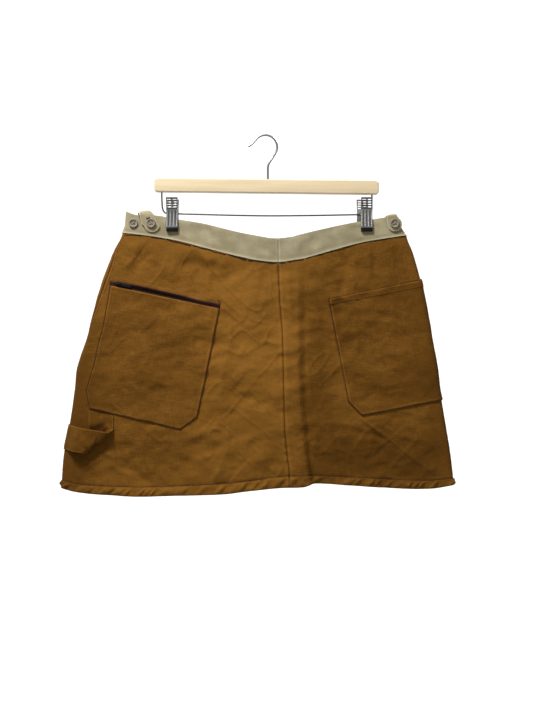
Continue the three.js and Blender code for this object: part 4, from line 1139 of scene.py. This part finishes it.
# The buttons: four-hole, of a mottled grey-beige plastic with a raised rim, sewn on with a
# cross of pale thread. The profile goes from the middle of the back round to the middle of
# the face.
BUTTON = {"hole": 1.0, "aside": 1.95, "face": 1.5}
BUTTON_PROFILE = (
    (0, 0), (6.2, 0), (6.9, 0.3), (7.25, 0.8), (7.3, 1.4), (7.2, 2.0), (6.9, 2.5), (6.4, 2.8),
    (5.9, 2.8), (5.4, 2.55), (5.0, 2.0), (4.6, 1.6), (4.0, 1.5), (0, 1.5),
)
ON_BAND = WAISTBAND_PROUD + SEAM_GAP
ON_TAB = WAISTBAND_PROUD + LIFT + TAB_THICK + SEAM_GAP
BUTTONS = (
    ("name", "x", "z", "on"),
    ("button_spare", -207.8, -139, ON_BAND),
    ("button_right", -179.8, -139.3, ON_TAB),
    ("button_left", 203.8, -139.5, ON_TAB),
)


def button_surface(start):
    place = own_place(start)
    cloud = start.node("ShaderNodeTexNoise", {}, {"Vector": place, "Scale": 320.0, "Detail": 3.0})
    color = (cloud * 1.6 - 0.3).blend(rgb(104, 95, 80), rgb(158, 148, 128))
    return {"Base Color": color, "Roughness": 0.42 + cloud * 0.15, "Normal": bumped(cloud, 0.1, 0.0002)}


button_finish = finish("button_horn", button_surface)


def plain_surface(color, roughness, scale=900.0, metal=0.0, depth=0.0001, shine=0.5):
    """A surface with one colour, made a little uneven by fine noise."""
    def make(start):
        place = own_place(start)
        grain = start.node("ShaderNodeTexNoise", {}, {"Vector": place, "Scale": scale, "Detail": 2.0})
        darker = tuple(level * 0.72 for level in color[:3]) + (1.0,)
        lighter = tuple(min(1.0, level * 1.25) for level in color[:3]) + (1.0,)
        return {
            "Base Color": grain.blend(darker, lighter),
            "Roughness": roughness - 0.1 + grain * 0.2,
            "Metallic": metal,
            "Specular IOR Level": shine,
            "Normal": bumped(grain, 0.3, depth),
        }
    return make


thread = finish("plum_thread", plain_surface(rgb(60, 22, 30), 0.8))
# The dark thread's colour also serves for strands of painted shade under the waistband and beside the
# right tab.
dark_thread_and_shade = finish("dark_thread_and_shade", plain_surface(rgb(30, 20, 20), 0.8, shine=0.2))
pale_thread = finish("pale_thread", plain_surface(rgb(150, 140, 122), 0.8))


def evaluated(piece):
    """The piece with its modifiers made part of a plain mesh."""
    graph = bpy.context.evaluated_depsgraph_get()
    made = bpy.data.meshes.new_from_object(piece.evaluated_get(graph), depsgraph=graph)
    piece.modifiers.clear()
    piece.data = made
    return piece


def turned(name, outline, segments):
    """A closed shape turned round the z axis from an outline of radius and height."""
    rings = [(radius, up) for radius, up in outline if radius > 0]
    points = []
    for radius, up in rings:
        for angle in np.arange(segments) * 2 * math.pi / segments:
            points.append((radius * math.cos(angle), radius * math.sin(angle), up))
    faces = ring_faces(len(rings), segments)
    first, last = len(points), len(points) + 1
    points.extend([(0, 0, outline[0][1]), (0, 0, outline[-1][1])])
    end = (len(rings) - 1) * segments
    for step in range(segments):
        after = (step + 1) % segments
        faces.append((first, after, step))
        faces.append((last, end + step, end + after))
    mesh = bpy.data.meshes.new(name)
    mesh.from_pydata(points, [], faces)
    mesh.validate()
    return mesh


def set_out(mesh, x, y, z):
    """Puts a turned shape at a place on the front in millimetres, its axis pointing out."""
    for vertex in mesh.vertices:
        across, up, out = vertex.co
        vertex.co = ((x + across) * MM, (y - out) * MM, (z + up) * MM)


def empty_tree(name, inputs):
    """A tree of geometry nodes with named inputs of some kinds, and the Strands of its inputs."""
    tree = bpy.data.node_groups.new(name, "GeometryNodeTree")
    for socket, kind in inputs:
        tree.interface.new_socket(socket, in_out="INPUT", socket_type="NodeSocket" + kind)
    tree.interface.new_socket("Shape", in_out="OUTPUT", socket_type="NodeSocketGeometry")
    entry = tree.nodes.new("NodeGroupInput")
    return tree, [Strand(tree, entry.outputs[step]) for step in range(len(inputs))]


def realized(shape, material):
    """The end of a tree: real faces with a finish on them."""
    real = shape.node("GeometryNodeRealizeInstances", {}, {"Geometry": shape})
    painted = shape.node("GeometryNodeSetMaterial", {}, {"Geometry": real, "Material": material})
    shape.node("NodeGroupOutput", {}, {"Shape": painted})


def wire_tree():
    """Round wire or thread along the lines of a mesh."""
    inputs = (("Lines", "Geometry"), ("Radius", "Float"), ("Sides", "Int"), ("Finish", "Material"))
    tree, (lines, radius, sides, material) = empty_tree("wire", inputs)
    route = lines.node("GeometryNodeMeshToCurve", {}, {"Mesh": lines})
    circle = lines.node("GeometryNodeCurvePrimitiveCircle", {}, {"Resolution": sides, "Radius": radius})
    swept = lines.node("GeometryNodeCurveToMesh", {}, {
        "Curve": route, "Profile Curve": circle, "Fill Caps": True,
    })
    realized(lines.node("GeometryNodeSetShadeSmooth", {}, {"Geometry": swept}), material)
    return tree


def grown(name, tree, lines, slot, **inputs):
    """A plain mesh that a node tree makes along lines of points in metres."""
    mesh = bpy.data.meshes.new(name)
    points, edges = [], []
    for line in lines:
        edges.extend((len(points) + step, len(points) + step + 1) for step in range(len(line) - 1))
        points.extend(tuple(point) for point in line)
    mesh.from_pydata(points, edges, [])
    piece = placed(name, mesh)
    modifier = piece.modifiers.new("grow", "NODES")
    modifier.node_group = tree
    for item in tree.interface.items_tree:
        if item.in_out == "INPUT" and item.name in inputs:
            modifier[item.identifier] = inputs[item.name]
    evaluated(piece)
    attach(piece, "garment")
    return piece


wire = wire_tree()


def wired(name, lines, slot, radius, sides, material):
    """Wire or thread of a radius in millimetres."""
    return grown(name, wire, lines, slot, Radius=radius * MM, Sides=sides, Finish=material)


for name, x, z, on in BUTTONS[1:]:
    y = float(band_face(np.array([x]), np.array([z]), False, on)[0])
    mesh = turned(name, BUTTON_PROFILE, 48)
    set_out(mesh, x, y, z)
    disc = placed(name, mesh)
    holes = []
    for aside in (-1, 1):
        for up in (-1, 1):
            hole_mesh = turned("hole", [(0, -1), (BUTTON["hole"], -1), (BUTTON["hole"], 4), (0, 4)], 16)
            set_out(hole_mesh, x + aside * BUTTON["aside"], y, z + up * BUTTON["aside"])
            hole = placed("hole", hole_mesh)
            cut = disc.modifiers.new("hole", "BOOLEAN")
            cut.operation = "DIFFERENCE"
            cut.object = hole
            holes.append(hole)
    evaluated(disc)
    for hole in holes:
        bpy.data.objects.remove(hole)
    disc.data.shade_smooth()
    disc.data.set_sharp_from_angle(angle=math.radians(35))
    disc.data.materials.clear()
    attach(disc, "garment")
    dressed(disc, name, button_finish)
    sewn = []
    for slope in (-1, 1):
        for shift in (-0.25, 0.25):
            route = []
            for turn in np.linspace(-1, 1, 11):
                reach = BUTTON["aside"] * turn
                sunk = 0.9 if abs(turn) == 1 else 0
                lift = BUTTON["face"] + 0.55 * math.sqrt(max(0, 1 - turn**2)) - sunk
                route.append(((x + reach + shift) * MM, (y - lift) * MM, (z + slope * reach - shift) * MM))
            sewn.append(route)
    wired(name + "_thread", sewn, "thread", 0.28, 8, pale_thread)

# The hanger: a birch bar with rounded ends, a hook of plated wire, and a wire frame under the
# bar that carries the two clips. The wires follow the same points as the model's.
HANGER = {"length": 355, "height": 21.7, "thick": 12, "x": 2, "z": -80, "tilt": math.radians(0.66)}


def birch_surface(start):
    place = own_place(start)
    grain, pores = noise(place, (9, 160, 160), 5.0), noise(place, (22, 700, 700), 2.0)
    color = (grain * 1.5 - 0.3).blend(rgb(214, 192, 152), rgb(232, 214, 178))
    color = (pores * 3.0 - 1.9).blend(color, rgb(178, 150, 106))
    return {
        "Base Color": color,
        "Roughness": 0.4 + grain * 0.12,
        "Normal": bumped(pores, 0.15, 0.0002),
        "Coat Weight": 0.25,
        "Coat Roughness": 0.2,
    }


birch = finish("birch_lacquered", birch_surface)
BAR_BEVEL = 1.8
BAR_CORNER = 5
half_long, half_high = HANGER["length"] / 2, HANGER["height"] / 2
rings = []
for number, turn in enumerate([*np.linspace(0, np.pi / 2, 6), *np.linspace(np.pi / 2, np.pi, 6)]):
    inset = BAR_BEVEL * (1 - math.sin(turn))
    side = -1 if number < 6 else 1
    y = side * (HANGER["thick"] / 2 - BAR_BEVEL * (1 - abs(math.cos(turn))))
    ring = []
    for quarter, (sx, sz) in enumerate([(1, 1), (-1, 1), (-1, -1), (1, -1)]):
        for angle in np.linspace(0, np.pi / 2, 9) + quarter * np.pi / 2:
            x = sx * (half_long - BAR_CORNER) + (BAR_CORNER - inset) * math.cos(angle)
            z = sz * (half_high - BAR_CORNER) + (BAR_CORNER - inset) * math.sin(angle)
            tilted_x, tilted_z = slanted(x, z, HANGER["tilt"])
            ring.append(((HANGER["x"] + tilted_x) * MM, y * MM, (HANGER["z"] + tilted_z) * MM))
    rings.append(ring)
count = len(rings[0])
faces = [tuple(range(count)), tuple(reversed(range((len(rings) - 1) * count, len(rings) * count)))]
faces.extend((b, a, d, c) for a, b, c, d in ring_faces(len(rings), count))
bar_mesh = bpy.data.meshes.new("hanger_bar")
bar_mesh.from_pydata([point for ring in rings for point in ring], [], faces)
bar_mesh.validate()
bar_mesh.shade_smooth()
bar_mesh.set_sharp_from_angle(angle=math.radians(40))
bar = placed("birch_bar", bar_mesh)
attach(bar, "garment")
dressed(bar, "hanger_bar", birch)

steel = finish("plated_steel", plain_surface(rgb(176, 175, 172), 0.3, 1400.0, 1.0, 0.00003))
dark_steel = finish("shaded_steel", plain_surface(rgb(96, 94, 94), 0.36, 1400.0, 1.0, 0.00003))
HOOK = {"radius": 18.9, "wire": 3.5, "frame_wire": 2.5}


def bar_z(x, side):
    """Height of the bar's upper edge, side 1, or its lower edge, side -1."""
    middle = HANGER["z"] - (x - HANGER["x"]) * math.tan(HANGER["tilt"])
    return middle + side * HANGER["height"] / 2


def smooth_route(points, count):
    """Points in metres, close together, on a smooth curve through points of x and z."""
    points = np.array(points, float)
    steps = np.sqrt(np.linalg.norm(np.diff(points, axis=0), axis=1))
    places = np.concatenate([[0], np.cumsum(steps)])
    table = (("place", "x", "z"), *zip(places, points[:, 0], points[:, 1]))
    at = np.linspace(0, places[-1], count)
    return np.stack([along(table, at, "x"), at * 0, along(table, at, "z")], axis=-1) * MM


hook_route = [(4.2, bar_z(4.2, 1) + SEAM_GAP), (4.2, -57), (4.4, -48), (7.2, -41), (12.8, -32.5)]
for angle in np.radians(np.arange(-20, 141, 8)):
    hook_route.append((
        math.cos(angle) * HOOK["radius"],
        HOOK["wire"] / 2 - HOOK["radius"] + math.sin(angle) * HOOK["radius"],
    ))
hook_route += [(-20.5, -11.8), (-27, -16.5)]
hook = wired("hook_wire", [smooth_route(hook_route, 160)], "steel", HOOK["wire"] / 2, 20, steel)
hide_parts("hanger_hook")
FRAME_ROUTE = [
    (-164, bar_z(-164, -1) - SEAM_GAP), (-163.6, -105), (-162.6, -115), (-160, -120.3),
    (-155, -122.6), (-146, -122.9), (-120, -123.6), (-40, -125.6), (12, -126.2), (80, -125.6),
    (140, -124.5), (158, -124.2), (164.5, -123.6), (168, -121), (169, -115), (169, -104),
    (169, bar_z(169, -1) - SEAM_GAP),
]
frame_lines = [smooth_route(FRAME_ROUTE, 260)]
under = wired("frame_wire", frame_lines, "steel", HOOK["frame_wire"] / 2, 14, dark_steel)
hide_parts("hanger_frame")

# The clips: two bent steel plates each, hinged on the frame wire by a coil spring, with rubber
# jaws. Plates and jaws keep the model's shape, with their sharp edges rounded off. The lower
# part has round ribs, paler than the plates as a painted highlight, with a dark strand of
# painted shade in each groove between them, and the handles dark rungs.
# The rubber's dark colour also serves for the strands of painted shade in each groove of the clips.
rubber_and_groove_shade = finish("jaw_rubber_and_groove_shade", plain_surface(rgb(17, 16, 18), 0.75, shine=0.12))
# The ribs' steel is paler and less metallic than the plates': a painted highlight on their rounded tops.
rib_highlight_steel = finish("steel_with_painted_highlight", plain_surface(rgb(196, 195, 192), 0.34, 1400.0, 0.6, 0.00003))
rungs_steel = finish("blackened_steel", plain_surface(rgb(34, 32, 33), 0.45, 1400.0, 0.4, 0.00003, 0.25))
CLIPS = (
    ("name", "plate_x", "back_shift", "spring_x", "spring_z"),
    ("clip_right", -147, 0, -147, -122.9),
    ("clip_left", 160, -5, 157, -124.2),
)
RIBS = {"span": 7.8, "top": -118.4, "foot": -144.2, "proud": 1.45, "groove": 1.1}
RUNGS = {"number": 5, "top": -100.35, "pitch": 3.7, "half": 8.6}
COIL = {"turns": 6, "long": 7.2, "radius": 3.5, "wire": 0.55}
STEEL_SHEET = 1.2
PLATE = (("z", "out"), (-146, 8.6), (-123, 4.6), (-98.5, 10.5))


def plate_out(z):
    """How far the inside of a clip's plate stands from the middle at a height."""
    return float(np.interp(z, [row[0] for row in PLATE[1:]], [row[1] for row in PLATE[1:]]))


def plate_line(x, facing, proud):
    """A line down the lower, ribbed part of a plate, in metres."""
    heights = np.linspace(RIBS["top"], RIBS["foot"], 12)
    return [(x * MM, facing * (plate_out(z) + proud) * MM, z * MM) for z in heights]


def softened(node_name, name, material, width, body="garment"):
    """A copy of a piece of the model, with its sharp edges rounded and a finish put on."""
    mesh = bpy.data.meshes.new(name)
    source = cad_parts[node_name].data
    corners = [tuple(vertex.co) for vertex in source.vertices]
    mesh.from_pydata(corners, [], [tuple(face.vertices) for face in source.polygons])
    piece = placed(name, mesh)
    merge = piece.modifiers.new("merge", "WELD")
    merge.merge_threshold = 0.00002
    round_off = piece.modifiers.new("round_off", "BEVEL")
    round_off.width = width
    round_off.segments = 2
    round_off.limit_method = "ANGLE"
    round_off.angle_limit = math.radians(30)
    evaluated(piece)
    piece.data.shade_smooth()
    piece.data.set_sharp_from_angle(angle=math.radians(30))
    piece.data.materials.clear()
    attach(piece, body)
    dressed(piece, node_name, material)


for name, plate_x, back_shift, spring_x, spring_z in CLIPS[1:]:
    for side in ("front", "back"):
        plate, pad = f"{name}_{side}_plate", f"{name}_{side}_pad"
        softened(plate, plate + "_pressed", steel, 0.00018)
        softened(pad, pad + "_moulded", rubber_and_groove_shade, 0.0003)
    for side, facing in (("front", -1), ("back", 1)):
        middle_x = plate_x + (back_shift if side == "back" else 0)
        ribs, groove_shades, rungs = [], [], []
        for aside in (-1, -0.33, 0.33, 1):
            ribs.append(plate_line(middle_x + aside * RIBS["span"], facing, RIBS["proud"]))
        # Dark strands of painted shade lie in each groove between the ribs.
        for aside in (-0.665, 0, 0.665):
            groove_shades.append(plate_line(middle_x + aside * RIBS["span"], facing, RIBS["groove"]))
        for row in range(RUNGS["number"]):
            up = RUNGS["top"] - RUNGS["pitch"] * row
            y = facing * (plate_out(up) + STEEL_SHEET)
            ends = (middle_x - RUNGS["half"], middle_x + RUNGS["half"])
            rungs.append([(end * MM, y * MM, up * MM) for end in ends])
        wired(f"{name}_{side}_ribs", ribs, "steel", 0.7, 10, rib_highlight_steel)
        wired(f"{name}_{side}_grooves", groove_shades, "steel", 0.5, 8, rubber_and_groove_shade)
        wired(f"{name}_{side}_rungs", rungs, "steel", 0.75, 8, rungs_steel)
    coil = []
    for turn in np.linspace(0, COIL["turns"], COIL["turns"] * 20 + 1):
        angle = 2 * math.pi * turn
        coil.append((
            (spring_x - COIL["long"] / 2 + COIL["long"] * turn / COIL["turns"]) * MM,
            COIL["radius"] * math.sin(angle) * MM,
            (spring_z + COIL["radius"] * math.cos(angle)) * MM,
        ))
    spring = wired(name + "_coil", [coil], "steel", COIL["wire"], 10, dark_steel)
    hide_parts(name + "_spring")

# The zip: black woven tape in the slit of the right pocket, with two rows of coil teeth, and a
# black slider with a pull tab that swings on the slider's arch.
tape = finish("zip_tape_black", plain_surface(rgb(9, 8, 10), 0.85, 2500.0, shine=0.08))
black_metal = finish("zip_metal_black", plain_surface(rgb(17, 15, 17), 0.42, 1200.0, 0.1, 0.00003, 0.25))
ZIP_SLIT = (-238.5, -85)
ZIP_THICK = 0.8
softened("zip_slider", "zip_slider_cast", black_metal, 0.00012)
softened("zip_pull", "zip_pull_tab", black_metal, 0.00012, "pull_tab")


def slit_z(x, share):
    """Height across the slit at x: share 0 at the strip's lower edge, 1 at the pocket's mouth."""
    past = (x - MOUTH_X) / MOUTH_WIDE
    upper = STRIP_LEFT[-1][2] + past * (STRIP_RIGHT[-1][2] - STRIP_LEFT[-1][2])
    lower = RIGHT_POCKET_LEFT[1][2] + past * (RIGHT_POCKET_RIGHT[1][2] - RIGHT_POCKET_LEFT[1][2])
    return upper + (lower - upper) * share


columns = np.linspace(ZIP_SLIT[0], ZIP_SLIT[1], 70)[None, :]
shares = np.array([0.06, 0.2, 0.35, 0.42, 0.58, 0.65, 0.8, 0.94])[:, None]
x = np.broadcast_to(columns, (len(shares), columns.shape[1]))
z = slit_z(x, shares)
run, down = locate(x, z)
woven = 0.12 * mound(shares, 0.5, 0.16)
outer = off(run, down, LIFT + ZIP_THICK - woven)
tape_piece = wall("zip_tape_woven", outer, off(run, down, LIFT), np.stack([x, z], axis=-1), 0.0)
dressed(tape_piece, "zip_tape", tape)
hung(right_pocket, right_cut)


def row_tree():
    """Short rounded bits laid end to end along the lines of a mesh: stitches, or zip teeth."""
    inputs = (("Lines", "Geometry"), ("Pitch", "Float"), ("Size", "Vector"), ("Uneven", "Float"),
              ("Finish", "Material"))
    tree, (lines, pitch, size, uneven_by, material) = empty_tree("row_of_bits", inputs)
    route = lines.node("GeometryNodeMeshToCurve", {}, {"Mesh": lines})
    spots = lines.node("GeometryNodeResampleCurve", {"mode": "LENGTH"}, {"Curve": route, "Length": pitch})
    tangent = lines.node("GeometryNodeInputTangent")
    aimed = lines.node("FunctionNodeAlignRotationToVector", {"axis": "X"}, {"Vector": tangent})
    less = lines.node("FunctionNodeRandomValue", {"data_type": "FLOAT"}, {2: 0.0, 3: 1.0, "Seed": 7}, 1)
    sizes = {0: size, "Scale": 1 - less * uneven_by}
    scaled = lines.node("ShaderNodeVectorMath", {"operation": "SCALE"}, sizes)
    bit = lines.node("GeometryNodeMeshUVSphere", {}, {"Segments": 6, "Rings": 4, "Radius": 0.5})
    smooth = lines.node("GeometryNodeSetShadeSmooth", {}, {"Geometry": bit})
    realized(lines.node("GeometryNodeInstanceOnPoints", {}, {
        "Points": spots, "Instance": smooth, "Rotation": aimed, "Scale": scaled,
    }), material)
    return tree


row_of_bits = row_tree()
teeth = []
for share in (0.44, 0.56):
    line_x = np.linspace(ZIP_SLIT[0] + 10, ZIP_SLIT[1] - 1, 60) + (share - 0.5) * 5
    teeth.append(laid(np.stack([line_x, slit_z(line_x, share)], axis=-1), LIFT + ZIP_THICK + 0.1))
grown("zip_teeth", row_of_bits, teeth, "zip_tape", Pitch=1.2 * MM, Size=(0.8 * MM, 0.7 * MM, 0.9 * MM),
      Uneven=0.0, Finish=tape)

# The sewing: rows of plum thread along the edges of the pockets, beside the side seams and all
# round the hem. The pockets' rows are lines of x and z on the front, in millimetres, and the
# others follow the cloth. ON_POCKET and ON_PANEL are how far a row stands off the panels.
ON_POCKET = LIFT + CANVAS + 0.1
ON_PANEL = 0.12
STITCH = {"pitch": 3.1 * MM, "size": (3.05 * MM, 0.75 * MM, 0.6 * MM)}
CLOSE = 1.7  # from a pocket's edge to its row
SEWN_TO = 0.987  # the rows down a pocket's sides end just above its foot
SEWN_WIDE = 180  # about a pocket's width
SEWN_POCKETS = (
    ("left", "right", "long", "mouth", "mouth_out"),
    (RIGHT_POCKET_LEFT, RIGHT_POCKET_RIGHT, RIGHT_POCKET_LONG, 3.4, 0.1),
    (LEFT_POCKET_LEFT, LEFT_POCKET_RIGHT, LEFT_POCKET_LONG, POCKET_HEM - 2, 0.5),
)
STRIP_SEWN = 0.2  # the strip's row, at a share of its depth
SEAM_SEWN = 4  # from a side seam to the row beside it
HEM_SEWN = 0.4  # from the upper edge of the turned hem to the row above it
HEM_ABOUT = 0.965  # the hem's row starts near this level, and is then set to the hem's own depth
HEM_SUNK = 0.15


def inset_line(table_left, table_right, inset, side):
    """A line down a pocket's edge, inset from it."""
    share = np.linspace(0, SEWN_TO, 60)
    left_x, left_z = edge_at(table_left, share, "x"), edge_at(table_left, share, "z")
    right_x, right_z = edge_at(table_right, share, "x"), edge_at(table_right, share, "z")
    wide = np.hypot(right_x - left_x, right_z - left_z)
    part = inset / wide if side == "left" else 1 - inset / wide
    return np.stack([left_x + (right_x - left_x) * part, left_z + (right_z - left_z) * part], axis=-1)


def across_line(table_left, table_right, share, inset):
    """A line across a pocket at a share of the way down."""
    ends = np.array([
        [edge_at(table_left, share, "x"), edge_at(table_left, share, "z")],
        [edge_at(table_right, share, "x"), edge_at(table_right, share, "z")],
    ])
    part = np.linspace(inset / SEWN_WIDE, 1 - inset / SEWN_WIDE, 60)[:, None]
    return ends[0] + (ends[1] - ends[0]) * part


sewing = []
for left, right, long, mouth, mouth_out in SEWN_POCKETS[1:]:
    for side in ("left", "right"):
        sewing.append(laid(inset_line(left, right, CLOSE, side), ON_POCKET))
    sewing.append(laid(across_line(left, right, 1 - CLOSE / long, CLOSE), ON_POCKET))
    sewing.append(laid(across_line(left, right, mouth / long, 1), ON_POCKET + mouth_out))
sewing.append(laid(across_line(STRIP_LEFT, STRIP_RIGHT, STRIP_SEWN, 1), ON_POCKET))
levels = np.linspace(0.01, 0.955, 160)
for side, aside in (("left", SEAM_SEWN), ("right", -SEAM_SEWN)):
    sewing.append(off(seam_run(side, levels) + aside, levels, ON_PANEL) * MM)
hem_run = np.linspace(0, 1, 900)[:-1]
hem_down = np.full(hem_run.shape, HEM_ABOUT)
middle, flat, curl = section(hem_down)
around = -flat + hem_run * (4 * flat + 2 * np.pi * curl)
for _ in range(3):
    across = np.clip((skin(around, hem_down)[..., 0] - middle) / (flat + curl), -1, 1)
    long = along(ACROSS, across, "seam") - along(ACROSS, across, "hem")
    hem_down = 1 - (along(ACROSS, across, "turn") + HEM_SEWN) / long
sewing.append(off(around, hem_down, -HEM_SUNK) * MM)
grown("seam_stitches", row_of_bits, sewing, "thread", Pitch=STITCH["pitch"], Size=STITCH["size"],
      Uneven=0.2, Finish=thread)

# The bartacks, of plum thread sewn to and fro: at both ends of the zip and at the foot of the
# centre seam. Each is two short lines of x and z side by side on the front, in millimetres.
TACKS = (
    ("x1", "z1", "x2", "z2", "out"),
    (-246, -223, -245.2, -229, ON_PANEL),
    (-243.6, -222.6, -242.8, -228.6, ON_PANEL),
    (-241.4, -222.4, -240.8, -228.4, ON_PANEL),
    (-246, -232.4, -238.6, -233.6, ON_POCKET),
    (-245.4, -234.6, -238.2, -236, ON_POCKET),
    (-91, -263.4, -73, -267.4, ON_POCKET),
    (-73, -260.6, -72, -268.6, ON_POCKET),
    (-89, -262.6, -88.6, -266, ON_POCKET),
    (-83, -264, -82.6, -267.4, ON_POCKET),
    (-77.4, -265.2, -77, -268.6, ON_POCKET),
    (-84, -270.4, -72.4, -273, ON_POCKET),
    (34.4, -534, 37.4, -536.4, ON_PANEL),
    (37.6, -538, 34.8, -541, ON_PANEL),
    (34.6, -544, 37.8, -547, ON_PANEL),
    (36.4, -549, 37, -553, ON_PANEL + 1),
)
tack_lines = []
for x1, z1, x2, z2, out in TACKS[1:]:
    for beside in (-0.35, 0.35):
        ends = [(x1 + beside, z1), ((x1 + x2) / 2, (z1 + z2) / 2), (x2 + beside, z2)]
        tack_lines.append(laid(ends, out))
wired("bartacks", tack_lines, "thread", 0.42, 6, thread)

# The shade beside the right tab: a dark strand lies in the gap between the waistband and the
# tab's outer edge. Above its button is a knot of dark thread.
TAB_GAP = (
    (-200.4, -122.6), (-198.8, -127), (-197, -132), (-194.2, -139), (-190.8, -145.6), (-187.6, -149.4),
)
KNOT = ((-187.4, -130.8), (-185.4, -132.2), (-183.6, -130.6), (-182.2, -130.2), (-183.2, -131.6))
wired("tab_gap_painted_shade", [laid(TAB_GAP, ON_BAND + 0.3)], "thread", 0.8, 8, dark_thread_and_shade)
wired("button_knot", [laid(KNOT, ON_BAND + 3.2)], "thread", 0.6, 8, dark_thread_and_shade)

# The waist seam: the waistband stands a little off the panels along its lower edge. Dark strands
# of uneven thickness lie in that gap and stand for its shade and its thread.
WAIST_SEAM = (
    ("x1", "x2", "radius"),
    (-181, -158, 0.7),
    (-156, -118, 0.8),
    (-114, -62, 0.65),
    (-58, -30, 0.85),
    (-27, 17, 0.75),
    (23, 31, 0.85),
    (36, 60, 0.6),
    (64, 220, 0.45),
    (-222, -185, 0.4),
)
for number, (x1, x2, radius) in enumerate(WAIST_SEAM[1:]):
    run = np.linspace(x1, x2, max(6, round((x2 - x1) / 3))) - float(section(0.0)[0])
    line = off(run, 0.004 + 0.003 * ripple(run, run * 0, 11, 9, 97), 0.35) * MM
    wired(f"waist_seam_shade_and_thread_{number + 1}", [line], "thread", radius, 6, dark_thread_and_shade)
